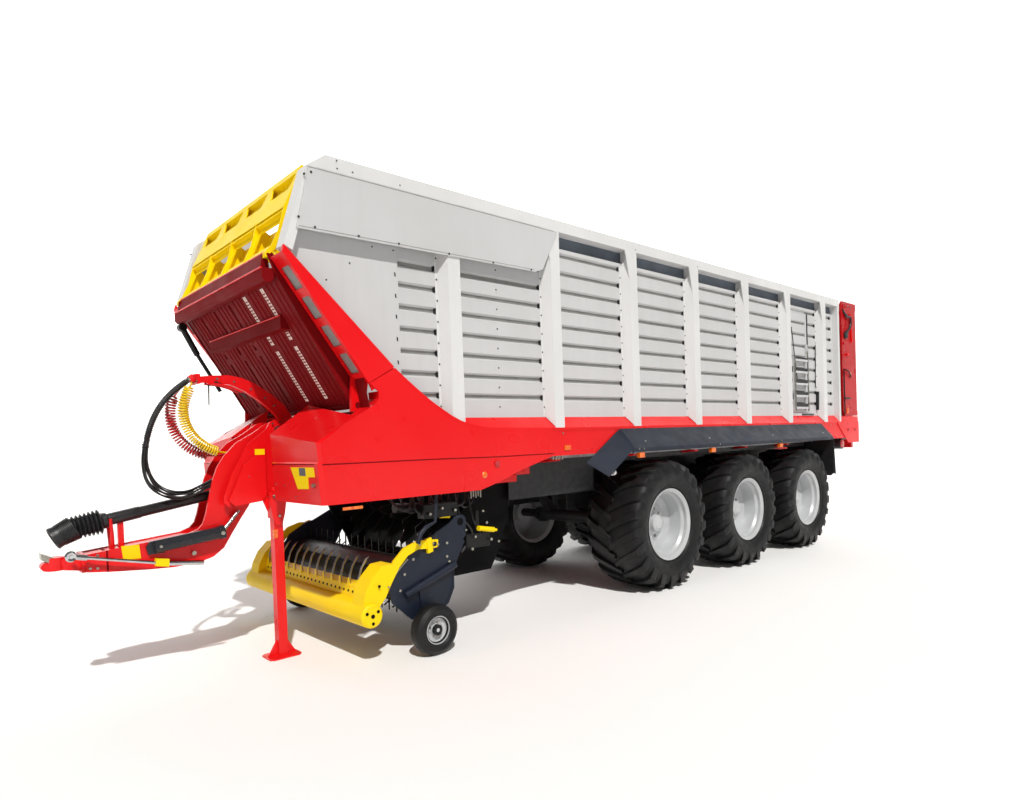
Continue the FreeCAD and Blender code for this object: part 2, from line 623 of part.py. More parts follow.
def main_frame():
    pieces = []
    for side in (-1, 1):
        pieces.append(box(f"Rail{side + 1}", ("-RearEnd + 170", "RailEnd"),
                          (f"{side}*RailHalf - RailWide/2", f"{side}*RailHalf + RailWide/2"),
                          ("RailFoot", "FloorUnder")))
        pieces.append(box(f"SideMember{side + 1}", ("RailEnd + 50", "HoodFront - HoodWall"),
                          (f"{side}*SideHalf - 45", f"{side}*SideHalf + 45"), ("SideFoot", "FloorTop - 40")))
    inner = ("-BodyHalf + BeamWall", "BodyHalf - BeamWall")
    for index in range(1, POSTS):
        rear = post_rear(index)
        pieces.append(plate(f"Cross{index}", [
            ("-BodyHalf + BeamWall", "FloorUnder - 20"), ("-RailHalf - 200", "FloorUnder - 65"),
            ("RailHalf + 200", "FloorUnder - 65"), ("BodyHalf - BeamWall", "FloorUnder - 20"),
            ("BodyHalf - BeamWall", "FloorUnder"), ("-BodyHalf + BeamWall", "FloorUnder")],
            f"{rear} + 20", f"{rear} + 100", "X"))
    pieces.append(box("CrossRear", ("-RearEnd + 90", "-RearEnd + 170"), inner, ("BeamFoot - 178", "FloorUnder")))
    pieces.append(box("CrossMiddle", ("RailEnd - 40", "RailEnd + 150"), inner, ("RailFoot + 110", "FloorUnder")))
    pieces.append(box("CrossBeam", ("CrossX", "CrossFront"), ("-SideHalf - 45", "SideHalf + 45"),
                      ("SideFoot", "CrossTop")))
    pieces.append(box("CrossRotor", ("3140", "3200"), ("-SideHalf", "SideHalf"), ("SideFoot", "SideFoot + 70")))
    pieces.append(plate("Bumper", [
        ("-RearEnd + 20", "FloorTop - BumperDrop"), ("-RearEnd + 90", "FloorTop - BumperDrop"),
        ("-RearEnd + 90", "FloorTop - 40"), ("-RearEnd + 50", "FloorTop - 40"), ("-RearEnd + 20", "FloorTop - 70")],
        "-BodyHalf + 105", "BodyHalf - 105"))
    node("main_frame", fuse("MainFrame", pieces))


BULKHEAD = "4312"
HOSE_ROUTE = [
    ("4850", "0", "2360"), ("4980", "12", "2270"), ("5120", "35", "2100"), ("5200", "56", "1900"),
    ("5235", "70", "1705"), ("5200", "78", "1525"), ("5085", "80", "1430"), ("4935", "79", "1412"),
    ("4800", "64", "1476"), ("4670", "46", "1535"), ("4550", "24", "1598"), ("4440", "0", "1668")]
YELLOW_ROUTE = [
    ("4850", "74", "2335"), ("4925", "56", "2182"), ("4922", "46", "2012"), ("4842", "46", "1862"),
    ("4703", "46", "1764"), ("4534", "46", "1741"), ("4421", "46", "1780")]
RED_ROUTE = [
    ("4850", "-74", "2350"), ("4956", "-56", "2244"), ("5002", "-46", "2101"), ("4984", "-46", "1952"),
    ("4904", "-46", "1825"), ("4779", "-46", "1743"), ("4630", "-46", "1722"), ("4517", "-46", "1752"),
    ("4420", "-46", "1800")]


def gland(name, route, radius, reach):
    """A sleeve that takes a hose's end: it starts at the end and goes on in line with it."""
    end = point(*route[0])
    run = (end - point(*route[1])).normalize()
    return shaped(name, Part.makeCylinder(value(radius), value(reach), end, run))


def hoses():
    node("hose_bundle", pipe("HoseBundle", HOSE_ROUTE, "HoseRadius"))
    node("air_line_yellow", pipe("AirLineYellow", YELLOW_ROUTE, "CoilRadius"))
    node("air_line_red", pipe("AirLineRed", RED_ROUTE, "CoilRadius"))


def input_gearbox():
    """The gear case on the cross beam, its input stub, and the plate where the hoses end."""
    case = plate("GearCase", [
        ("CrossFront", "SideFoot + 15"), ("CrossFront + 180", "SideFoot + 15"), ("CrossFront + 210", "SideFoot + 50"),
        ("CrossFront + 210", "SideFoot + 150"), ("CrossFront + 180", "SideFoot + 190"), ("CrossFront", "SideFoot + 190")],
        "-85", "85")
    flange = rod("GearFlange", "X", "58", "CrossFront + 200", "CrossFront + 225", ("0", "1455"))
    stub = rod("GearStub", "X", "24", "CrossFront + 200", "CrossFront + 330", ("0", "1455"))
    board = plate("HoseBoard", [
        ("-84", "SideFoot + 170"), ("84", "SideFoot + 170"), ("84", "PivotZ - 105"), ("60", "PivotZ - 80"),
        ("-60", "PivotZ - 80"), ("-84", "PivotZ - 105")], f"{BULKHEAD} - 12", BULKHEAD, "X")
    foot = box("HoseBoardFoot", (f"{BULKHEAD} - 130", BULKHEAD), ("-60", "60"), ("SideFoot + 180", "SideFoot + 200"))
    pieces = [case, flange, stub, board, foot,
              gland("HoseEnd", HOSE_ROUTE[::-1], "HoseRadius + 4", "160"),
              gland("YellowEnd", YELLOW_ROUTE[::-1], "18", "120"), gland("RedEnd", RED_ROUTE[::-1], "18", "125")]
    trim = box("HoseEndTrim", (f"{BULKHEAD} - 200", f"{BULKHEAD} - 12"), ("-84", "84"), ("1600", "1900"))
    node("input_gearbox", cut("InputGearbox", fuse("InputGearboxWhole", pieces), trim))


def neck():
    """Two shaped cheeks on the cross beam that hold the drawbar's pin, and the jack's sleeve."""
    outline = [
        ("CrossFront", "SideFoot"), ("4400", "1340"), ("4492", "1340"), ("4600", "1302"), ("4655", "1305"),
        ("4688", "1345"), ("4680", "1400"), ("4610", "1570"), ("4540", "1690"), ("4475", "1810"),
        ("PivotX + 88", "PivotZ + 12"), ("PivotX + 60", "PivotZ + 70"), ("PivotX + 15", "PivotZ + 88"),
        ("PivotX - 40", "PivotZ + 72"), ("PivotX - 80", "PivotZ + 20"), ("CrossX + 40", "1780"),
        ("CrossX", "CrossTop"), ("CrossFront", "CrossTop")]
    window = [
        ("4330", "1420"), ("4420", "1420"), ("4500", "1440"), ("4520", "1490"), ("4440", "1650"), ("4400", "1680"),
        ("4330", "1680")]
    cheeks = []
    for side, word in ((1, "Left"), (-1, "Right")):
        low, high = signed(side, "CheekHalf - CheekThick", "CheekHalf")
        cheeks.append(cut(f"Cheek{word}", plate(f"Cheek{word}Sheet", outline, low, high),
                          plate(f"Cheek{word}Window", window, f"{low} - 1", f"{high} + 1")))
        low, high = signed(side, "CheekHalf", "CheekHalf + 12")
        cheeks.append(rod(f"PivotBoss{word}", "Y", "PivotRadius + 30", low, high, ("PivotX", "PivotZ")))
    pin = rod("PivotPin", "Y", "PivotRadius", "-CheekHalf - 22", "CheekHalf + 22", ("PivotX", "PivotZ"))
    node("neck_cheeks", fuse("NeckCheeks", cheeks + [pin]))
    outer = box("SleeveOuter", ("JackX - SleeveHalf", "JackX + SleeveHalf"), ("CheekHalf", "JackY + SleeveHalf"),
                ("1180", "1400"))
    bracket = plate("SleeveBracket", [
        ("JackX - SleeveHalf", "1380"), ("JackX + SleeveHalf + 60", "1380"), ("JackX + SleeveHalf", "1230"),
        ("JackX - SleeveHalf", "1180")], "CheekHalf + FaceGap", "CheekHalf + 12")
    hole = box("SleeveHole", ("JackX - JackTube/2 - JackClear", "JackX + JackTube/2 + JackClear"),
               ("JackY - JackTube/2 - JackClear", "JackY + JackTube/2 + JackClear"), ("1170", "1410"))
    node("jack_sleeve", cut("JackSleeve", fuse("JackSleeveWhole", [outer, bracket]), hole))


def hood():
    """A side skin with a swept edge, a bent front face, and the facets on top."""
    side = plate("HoodSide", [
        ("1890", "BeamFoot + 5"), ("2343", "HoodFoot + 149"), ("2600", "HoodFoot + 62"), ("2839", "HoodFoot"),
        ("HoodFront - HoodCorner", "HoodFoot"), ("HoodFront + 20 - HoodCorner", "HoodFoot + 312"),
        ("HoodFront + 25 - HoodCorner", "HoodShoulder"), ("4130", "HoodShoulder + 150"), ("3880", "2080"),
        ("3842", "2130"), ("3845", "2190"), ("BandFootX", "BandFootZ - 5"), ("BandRearX - 6", "BandRearZ - 8"),
        ("3560", "2280"), ("3443", "2193"), ("3340", "2120"), ("3245", "2063"), ("3140", "2003"), ("3036", "1955"),
        ("2900", "BeamTop + 38"), ("2700", "BeamTop + 12"), ("1890", "BeamTop")], "BodyHalf + FaceGap", "HoodSide")

    def strip(shift, drop):
        """The front face's section: a thin sheet with a crease and a recessed upper band."""
        return [
            (f"HoodFront - {shift} - HoodWall", "HoodFoot"), (f"HoodFront - {shift}", "HoodFoot"),
            (f"HoodFront + 20 - {shift}", "HoodFoot + 310"), (f"HoodFront + 10 - {shift}", "HoodFoot + 322"),
            (f"HoodFront + 25 - {shift}", f"HoodShoulder + {drop}"),
            (f"HoodFront + 25 - {shift} - HoodWall", f"HoodShoulder + {drop} - 6"),
            (f"HoodFront + 10 - {shift} - HoodWall", "HoodFoot + 322"),
            (f"HoodFront + 20 - {shift} - HoodWall", "HoodFoot + 310")]
    face = loft("HoodFace", [
        ("HoodInner", strip("0", "90")), ("HoodSide - HoodCorner", strip("0", "3")),
        ("HoodSide", strip("HoodCorner", "0"))])
    top = loft("HoodTop", [
        ("HoodInner", [("HoodFront + 25", "HoodShoulder + 90"), ("4030", "2130"), ("4024", "2117"),
                       ("HoodFront + 11", "HoodShoulder + 79")]),
        ("HoodSide - HoodCorner", [("HoodFront + 25", "HoodShoulder + 3"), ("4040", "2000"), ("4034", "1987"),
                                   ("HoodFront + 11", "HoodShoulder - 8")]),
        ("HoodSide", [("HoodFront + 25 - HoodCorner", "HoodShoulder"), ("4030", "1996"), ("4024", "1983"),
                      ("HoodFront + 11 - HoodCorner", "HoodShoulder - 11")])])
    shoulder = plate("HoodShoulder", [
        ("4042", "1999"), ("3880", "2085"), ("3842", "2135"), ("3845", "2190"), ("3833", "2190"), ("3830", "2130"),
        ("3870", "2073"), ("4034", "1985")], "FrontHalf + 74", "HoodSide")
    inner = plate("HoodInnerSheet", [
        ("HoodFront - HoodWall", "HoodFoot"), ("HoodFront + 20 - HoodWall", "HoodFoot + 310"),
        ("HoodFront + 11", "HoodShoulder + 79"), ("4024", "2117"), ("CrossFront + 6", "CrossTop"),
        ("CrossFront + 6", "HoodFoot")], "HoodInner", "HoodInner + HoodWall")
    left = fuse("Hood", [side, face, top, shoulder, inner])
    node("hoods", group("Hoods", [left, mirrored("HoodRight", left)]))


def band():
    """The inclined band beside the front wall: an outer strip and an inward flange with four windows."""
    side = plate("BandSide", [
        ("BandTopX + 8", "BandTopZ"), ("BandRearX", "BandRearZ"), ("BandFootX", "BandFootZ"),
        ("BandTopX + 20", "BandTopZ - 50")], "BodyHalf - 16", "BodyHalf + 12")
    tail = plate("BandTail", [
        ("BandRearX", "BandRearZ"), ("BandFootX", "BandFootZ"), ("BandFootX - 30", "BandFootZ - 60"),
        ("BandRearX + 10", "BandRearZ - 60")], "BodyHalf - 16", "BodyHalf")
    middle = "BodyHalf + 12 - BandFlange/2"
    foot = ("BandFootX + 2", middle, "BandFootZ")
    head = ("BandTopX + 18", middle, "BandTopZ - 50")
    flange = beam("BandFlange", foot, head, "BandFlange", "10")
    windows = [beam(f"BandWindow{index}", foot, head, "BandFlange - 75", "60", 0.09 + 0.22 * index, 0.25 + 0.22 * index)
               for index in range(4)]
    bracket = plate("WallBracket", [
        ("WallPivotX - 60", "WallPivotZ - 50"), ("WallPivotX + 60", "WallPivotZ - 50"),
        ("BandFootX + 60", "BandFootZ + 60"), ("BandFootX - 90", "BandFootZ + 60")], "FrontHalf + 30", "FrontHalf + 62")
    bore = rod("WallBore", "Y", "WallShaft + RunClear", "FrontHalf", "FrontHalf + 90", ("WallPivotX", "WallPivotZ"))
    left = cut("FrontBandBored", fuse("FrontBand", [side, tail, cut("BandFlangeOpen", flange, group("BandWindows", windows)),
                                                    bracket]), bore)
    node("front_bands", group("FrontBands", [left, mirrored("FrontBandRight", left)]))


def fender():
    """A sheet drawn from its inner to its outer edge: a flap in front, the top and a flap behind."""
    inner = [("FenderFront + FenderFlap + 60", "FenderInnerZ - 340"), ("FenderFront + 60", "FenderInnerZ - 22"),
             ("FenderFront", "FenderInnerZ"), ("-FenderRear", "FenderInnerZ"), ("-FenderRear - 60", "FenderInnerZ - 60"),
             ("-FenderRear - 140", "FenderInnerZ - 790")]
    outer = [("FenderFront + FenderFlap - 70", "FenderOuterZ - 270"), ("FenderFront + 60", "FenderOuterZ - 22"),
             ("FenderFront", "FenderOuterZ"), ("-FenderRear + 20", "FenderOuterZ"),
             ("-FenderRear - 10", "FenderOuterZ - 60"), ("-FenderRear - 60", "FenderOuterZ - 590")]

    def sheet_section(line):
        under = [(x, f"{z} - FenderThick") for x, z in line[:4]]
        under += [(f"{x} + FenderThick", f"{z} - 3") for x, z in line[4:]]
        return line + under[::-1]
    top = loft("Fender", [("BodyHalf + FaceGap + 14", sheet_section(inner)), ("FenderHalf - 2", sheet_section(outer))])
    edge = plate("FenderEdge", [
        ("FenderFront + 50", "FenderOuterZ - 22"), ("FenderFront", "FenderOuterZ - 2"),
        ("-FenderRear + 20", "FenderOuterZ - 2"), ("-FenderRear + 20", "FenderOuterZ - 42"),
        ("FenderFront", "FenderOuterZ - 42"), ("FenderFront + 50", "FenderOuterZ - 60")],
        "FenderHalf - 6", "FenderHalf")
    brackets = [box(f"FenderBracket{index}", (f"FenderFront - 200 - {index}*1150", f"FenderFront - 120 - {index}*1150"),
                    ("BodyHalf + FaceGap", "BodyHalf + 30"), ("BeamFoot + 10", "FenderInnerZ - 20"))
                for index in range(5)]
    left = fuse("FenderWhole", [top, edge] + brackets)
    node("fenders", group("Fenders", [left, mirrored("FenderRight", left)]))


# ---------------------------------------------------------------- axles and wheels
def tyre():
    """A turned carcass with slanting lugs left and right, trimmed to the tread's crown."""
    body = doc.addObject("PartDesign::Body", "TyreBody")
    tread = "(WheelRadius - LugHeight)"
    half = "TyreWide/2"
    seat = "(RimRadius - RimSeat)"
    outline = [
        (seat, f"-{half} + 75"), (f"{seat} + 32", f"-{half} + 75"), (f"{seat} + 70", f"-{half} + 6"),
        (f"{tread} - 90", f"-{half} + 4"), (f"{tread} - 14", f"-{half} + 60"), (tread, f"-{half} + 140"),
        (tread, f"{half} - 140"), (f"{tread} - 14", f"{half} - 60"), (f"{tread} - 90", f"{half} - 4"),
        (f"{seat} + 70", f"{half} - 6"), (f"{seat} + 32", f"{half} - 75"), (seat, f"{half} - 75")]
    sketch = profile(body, "TyreProfile", outline, "XY_Plane")
    turn = body.newObject("PartDesign::Revolution", "TyreTurn")
    turn.Profile = sketch
    turn.ReferenceAxis = (sketch, ["V_Axis"])
    turn.Angle = 360
    doc.recompute()
    shift = "(180 / LugCount)"
    for side, word in ((1, "Left"), (-1, "Right")):
        lug = profile(body, f"Lug{word}Plan", [
            ("-LugWide/2 + 6", f"{side}*(-16)"), ("LugWide/2", f"{side}*(-16)"),
            ("LugWide/2 + 95", f"{side}*(TyreWide*0.3)"), ("LugWide/2 + 125", f"{side}*(TyreWide/2 + 8)"),
            ("-LugWide/2 + 118", f"{side}*(TyreWide/2 + 8)"), ("-LugWide/2 + 80", f"{side}*(TyreWide*0.3)")],
            "XY_Plane")
        lug.setExpression("AttachmentOffset.Base.z", bound("WheelRadius - 90"))
        pad = body.newObject("PartDesign::Pad", f"Lug{word}")
        pad.Profile = lug
        pad.setExpression("Length", bound("110"))
        doc.recompute()
        polar(body, pad, "LugCount")
        doc.recompute()
    trim = profile(body, "TyreTrim", [
        ("WheelRadius", "-TyreWide*0.36"), ("WheelRadius", "TyreWide*0.36"), ("WheelRadius - 30", "TyreWide/2 - 12"),
        ("WheelRadius - 95", "TyreWide/2"), ("WheelRadius - 95", "TyreWide/2 + 60"), ("WheelRadius + 90", "TyreWide/2 + 60"),
        ("WheelRadius + 90", "-TyreWide/2 - 60"), ("WheelRadius - 95", "-TyreWide/2 - 60"),
        ("WheelRadius - 95", "-TyreWide/2"), ("WheelRadius - 30", "-TyreWide/2 + 12")], "XY_Plane")
    groove = body.newObject("PartDesign::Groove", "TyreCrown")
    groove.Profile = trim
    groove.ReferenceAxis = (trim, ["V_Axis"])
    groove.Angle = 360
    body.Tip = groove
    return body


def rim():
    """A turned rim, its dished disc and its hub with a dome and a ring of nuts."""
    half = "(TyreWide/2 - 47)"
    seat = "(RimRadius - RimSeat)"
    face = turned("RimTurned", [
        ("RimRadius", half), ("RimRadius - 9", half), (f"{seat} - 10", f"{half} - 22"), (f"{seat} - 12", f"{half} - 60"), (f"{seat} - 34", f"{half} - 90"),
        (f"{seat} - 50", f"{half} - 240"), ("250", f"{half} - 262"), ("HubRadius - 10", f"{half} - 250"),
        ("HubRadius - 10", f"{half} - 268"), ("255", f"{half} - 280"), (f"{seat} - 45", f"{half} - 258"),
        (f"{seat} - 16", f"-{half} + 30"), ("RimRadius - 14", f"-{half} + 10"), ("RimRadius", f"-{half}"),
        ("RimRadius - 4", f"-{half} + 24"), (f"{seat} - 0.5", f"-{half} + 26"), (f"{seat} - 0.5", f"{half} - 26"),
        ("RimRadius - 4", f"{half} - 24")])
    hub = turned("HubTurned", [
        ("SpindleRadius + RunClear", "-90"), ("HubRadius", "-90"), ("HubRadius", f"{half} - 240"),
        ("HubRadius - 25", f"{half} - 230"), ("HubRadius - 35", f"{half} - 170"), ("60", f"{half} - 150"),
        ("0", f"{half} - 150"), ("0", f"{half} - 170"), ("SpindleRadius + RunClear", f"{half} - 175")])
    nuts = []
    for index in range(10):
        nut = rod(f"Nut{index}", "Y", "15", f"{half} - 265", f"{half} - 232", (
            f"{168 * math.cos(math.radians(36 * index))}", f"{168 * math.sin(math.radians(36 * index))}"))
        nuts.append(nut)
    return fuse("RimWhole", [face, hub] + nuts)


def wheels():
    pieces = (("tyre", tyre()), ("rim", rim()))
    doc.recompute()
    for axle in range(3):
        for side, word in ((1, "left"), (-1, "right")):
            at = Vector(value(f"AxleFront - {axle}*AxlePitch"), side * value("WheelHalf"), value("WheelRadius"))
            turn = Rotation() if side > 0 else Rotation(Vector(0, 0, 1), 180)
            for label, master in pieces:
                item = shaped(f"{label.title()}{axle}{word}", master.Shape)
                item.Placement = FreeCAD.Placement(at, turn)
                node(f"{label}_{axle + 1}_{word}", item)


def axles():
    for axle in range(3):
        middle = f"AxleFront - {axle}*AxlePitch"
        steered = axle != 1
        end = "KingpinHalf - 62" if steered else "WheelHalf - 100"
        pieces = [rod(f"AxleTube{axle}", "Y", "AxleTube", f"-({end})", end, (middle, "WheelRadius"))]
        for side in (-1, 1):
            pieces.append(box(f"Perch{axle}_{side + 1}", (f"{middle} - 90", f"{middle} + 90"),
                              (f"{side}*RailHalf - 50", f"{side}*RailHalf + 50"),
                              ("WheelRadius + AxleTube - 20", "WheelRadius + AxleTube + 60")))
            if not steered:
                pieces.append(rod(f"Hub{axle}_{side + 1}", "Y", "SpindleRadius",
                                  *signed(side, "WheelHalf - 110", "WheelHalf + 60"), (middle, "WheelRadius")))
            low, high = f"{side}*RailHalf - 45", f"{side}*RailHalf + 45"
            pieces.append(plate(f"Arm{axle}_{side + 1}", [
                (f"{middle} - 30", "WheelRadius + 60"), (f"{middle} + 70", "WheelRadius + 60"),
                (f"{middle} + 380", "RailFoot - 200"), (f"{middle} + 640", "RailFoot - 90"),
                (f"{middle} + 640", "RailFoot - 10"), (f"{middle} + 340", "RailFoot - 110"),
                (f"{middle} + 20", "WheelRadius + AxleTube + 70")], low, high))
            pieces.append(plate(f"Hanger{axle}_{side + 1}", [
                (f"{middle} + 540", "RailFoot"), (f"{middle} + 600", "RailFoot - 130"), (f"{middle} + 690", "RailFoot - 130"),
                (f"{middle} + 740", "RailFoot")], f"{side}*RailHalf - 55", f"{side}*RailHalf + 55"))
            pieces.append(bar(f"Ram{axle}_{side + 1}", (f"{middle} - 20", f"{side}*RailHalf", "WheelRadius + 100"),
                              (f"{middle} - 60", f"{side}*RailHalf", "RailFoot - 6"), "55"))
            if steered:
                pieces.append(box(f"Yoke{axle}_{side + 1}", (f"{middle} - 60", f"{middle} + 60"),
                                  (f"{side}*(KingpinHalf - 25) - 50", f"{side}*(KingpinHalf - 25) + 50"),
                                  ("WheelRadius - 60", "WheelRadius + 60")))
        whole = fuse(f"Axle{axle}", pieces)
        if steered:
            bores = [rod(f"KingpinBore{axle}_{side + 1}", "Z", "KingpinRadius + RunClear", "WheelRadius - 70",
                         "WheelRadius + 70", (middle, f"{side}*KingpinHalf")) for side in (-1, 1)]
            whole = cut(f"SteeredAxle{axle}", whole, fuse(f"KingpinBores{axle}", bores))
        node(f"axle_{axle + 1}", whole)
        if steered:
            for side, word in ((1, "left"), (-1, "right")):
                spindle = rod(f"Spindle{axle}{word}", "Y", "SpindleRadius",
                              *signed(side, "KingpinHalf + 60", "WheelHalf + 60"), (middle, "WheelRadius"))
                pin = rod(f"Kingpin{axle}{word}", "Z", "KingpinRadius", "WheelRadius - 95", "WheelRadius + 95",
                          (middle, f"{side}*KingpinHalf"))
                fork = plate(f"Knuckle{axle}{word}Fork", [
                    (f"{side}*(KingpinHalf - 50)", "WheelRadius + 67"), (f"{side}*(KingpinHalf + 50)", "WheelRadius + 67"),
                    (f"{side}*(KingpinHalf + 50)", "WheelRadius - 67"), (f"{side}*(KingpinHalf - 50)", "WheelRadius - 67"),
                    (f"{side}*(KingpinHalf - 50)", "WheelRadius - 95"), (f"{side}*(KingpinHalf + 80)", "WheelRadius - 95"),
                    (f"{side}*(KingpinHalf + 80)", "WheelRadius + 95"), (f"{side}*(KingpinHalf - 50)", "WheelRadius + 95")],
                    f"{middle} - 45", f"{middle} + 45", "X")
                flange = rod(f"KnuckleFlange{axle}{word}", "Y", "SpindleRadius + 35",
                             *signed(side, "KingpinHalf + 70", "KingpinHalf + 105"), (middle, "WheelRadius"))
                node(f"knuckle_{axle + 1}_{word}", fuse(f"Knuckle{axle}{word}", [spindle, pin, fork, flange]))


# ---------------------------------------------------------------- drawbar
def shaft_z(x):
    """Height of the drive shaft's axis at a place along the wagon."""
    return f"(1262 + (5560 - ({x})) * ShaftDrop / 1000)"


def drawbar():
    """Two curved cheeks joined by the nose, a web below and a cap plate, with the hitch and its rods."""
    cheek = [
        ("HitchX - 175", "HitchZ - 85"), ("5500", "HitchZ - 105"), ("5244", "872"), ("5060", "862"), ("4877", "871"),
        ("4760", "902"), ("4672", "965"), ("4600", "1080"), ("4530", "1185"), ("4456", "1290"), ("4390", "1420"),
        ("4330", "1560"), ("4240", "1720"), ("PivotX - 62", "PivotZ - 60"), ("PivotX - 78", "PivotZ"),
        ("PivotX - 55", "PivotZ + 55"), ("PivotX", "PivotZ + 78"), ("PivotX + 55", "PivotZ + 62"),
        ("4400", "1905"), ("4540", "1828"), ("4635", "1731"), ("4700", "1635"), ("4740", "1531"), ("4775", "1390"),
        ("4807", "1251"), ("4832", "1180"), ("4870", "1140"), ("4950", "1112"), ("HitchX - 175", "1045")]
    pieces = [plate(f"Drawbar{word}", cheek, *signed(side, "DrawbarHalf - DrawbarPlate", "DrawbarHalf"))
              for side, word in ((1, "Left"), (-1, "Right"))]
    inner = ("-DrawbarHalf + DrawbarPlate", "DrawbarHalf - DrawbarPlate")
    pieces.append(plate("DrawbarNose", [
        ("HitchX - 175", "HitchZ - 85"), ("5500", "HitchZ - 105"), ("5244", "872"), ("5060", "862"), ("4877", "871"),
        ("4870", "1100"), ("4950", "1104"), ("HitchX - 175", "1037")], *inner))
    pieces.append(plate("DrawbarWeb", [
        ("4877", "871"), ("4760", "902"), ("4672", "965"), ("4600", "1080"), ("4456", "1290"), ("4475", "1300"),
        ("4618", "1092"), ("4690", "980"), ("4770", "922"), ("4877", "895")], *inner))
    for side, word in ((1, "Left"), (-1, "Right")):
        pieces.append(rod(f"DrawbarEye{word}", "Y", "PivotRadius + 28", *signed(side, "DrawbarHalf", "DrawbarHalf + 12"),
                          ("PivotX", "PivotZ")))
    pieces.append(plate("ShaftHolder", [
        ("5380", "950"), ("5420", "950"), ("5420", f"{shaft_z('5420')} - ShaftRadius - 0.9"),
        ("5380", f"{shaft_z('5380')} - ShaftRadius - 0.9")], "-15", "15"))
    hole = rod("DrawbarHole", "Y", "PivotRadius + RunClear", "-DrawbarHalf - 20", "DrawbarHalf + 20",
               ("PivotX", "PivotZ"))
    node("drawbar", cut("Drawbar", fuse("DrawbarWhole", pieces), hole))
    cup = rod("HitchCup", "Z", "62", "HitchZ - 55", "HitchZ + 40", ("HitchX", "0"))
    shank = plate("HitchShank", [
        ("HitchX - 166", "HitchZ - 78"), ("HitchX - 40", "HitchZ - 55"), ("HitchX - 30", "HitchZ + 20"),
        ("HitchX - 60", "HitchZ + 34"), ("HitchX - 166", "HitchZ + 36")], "-60", "60")
    tip = rod("HitchTipBar", "Y", "30", "-45", "45", ("HitchTip - 30", "HitchZ - 20"))
    lip = box("HitchLip", ("HitchX", "HitchTip - 30"), ("-45", "45"), ("HitchZ - 50", "HitchZ + 10"))
    plate_back = box("HitchFlange", ("HitchX - 175", "HitchX - 150"), ("-95", "95"), ("HitchZ - 88", "HitchZ + 50"))
    socket = ball("HitchSocket", "BallRadius", "HitchX", "0", "HitchZ - 55")
    node("hitch_cup", cut("Hitch", fuse("HitchBody", [cup, shank, tip, lip, plate_back]), socket))
    rod_start = ("5235", "SteerY", "913")
    rod_end = ("HitchX - 130", "SteerY", "1012")
    steer = bar("SteerRod", rod_start, rod_end, "14")
    tube = bar("SteerTube", ("4760", "SteerY", "868"), rod_start, "24")
    eye = ball("SteerBall", "34", "HitchX - 100", "SteerY", "1018")
    clamp = box("SteerClamp", ("5150", "5200"), ("DrawbarHalf", "SteerY + 34"), ("880", "940"))
    rear_clamp = box("SteerClampRear", ("4790", "4830"), ("DrawbarHalf", "SteerY + 30"), ("845", "910"))
    node("steering_rod", fuse("SteeringRod", [steer, tube, eye, clamp, rear_clamp]))
    barrel = bar("LiftBarrel", ("5213", "SteerY + 2", "1048"), ("4706", "SteerY + 2", "1104"), "50")
    cap = bar("LiftCap", ("4730", "SteerY + 2", "1101"), ("4690", "SteerY + 2", "1106"), "56")
    foot = plate("LiftFoot", [
        ("5130", "990"), ("5250", "990"), ("5262", "1050"), ("5230", "1090"), ("5150", "1090")],
        "DrawbarHalf", "DrawbarHalf + 30")
    node("drawbar_cylinder", fuse("DrawbarCylinder", [barrel, cap, foot]))
    pieces = [bar("ShaftGuard", ("5560", "0", shaft_z("5560")), ("4565", "0", shaft_z("4565")), "ShaftRadius"),
              bar("ShaftJoint", ("4600", "0", shaft_z("4600")), ("4545", "0", shaft_z("4545")), "ShaftRadius + 14")]
    for index in range(7):
        near = f"5530 + {index}*44"
        far = f"5556 + {index}*44"
        size = 92 - abs(index - 3) * 7
        start = (near, "0", f"1267 - {index}*6.5")
        end = (far, "0", f"1263 - {index}*6.5")
        pieces.append(bar(f"Bellow{index}", start, end, f"{size}"))
    pieces.append(bar("ShaftCore", ("5530", "0", "1267"), ("5885", "0", "1215"), "54"))
    node("pto_shaft", fuse("PtoShaft", pieces))


def jack():
    half = "JackTube/2"
    leg = box("JackLeg", (f"JackX - {half}", f"JackX + {half}"), (f"JackY - {half}", f"JackY + {half}"),
              ("10", "JackTop"))
    foot = plate("JackPlate", [
        ("JackX - JackFoot/2 + 30", "JackY - 110"), ("JackX + JackFoot/2 - 30", "JackY - 110"),
        ("JackX + JackFoot/2", "JackY - 80"), ("JackX + JackFoot/2", "JackY + 80"),
        ("JackX + JackFoot/2 - 30", "JackY + 110"), ("JackX - JackFoot/2 + 30", "JackY + 110"),
        ("JackX - JackFoot/2", "JackY + 80"), ("JackX - JackFoot/2", "JackY - 80")], "0", "12", "Z")
    pieces = [leg, foot]
    for side in (-1, 1):
        pieces.append(plate(f"JackGusset{side + 1}", [
            (f"JackX + {side}*({half} - 2)", "10"), (f"JackX + {side}*(JackFoot/2 - 15)", "10"),
            (f"JackX + {side}*({half} - 2)", "150")], "JackY - 6", "JackY + 6"))
    pieces.append(rod("JackCap", "Z", f"{half} - 6", "JackTop - 5", "JackTop + 22", ("JackX", "JackY")))
    node("jack_leg", fuse("Jack", pieces))


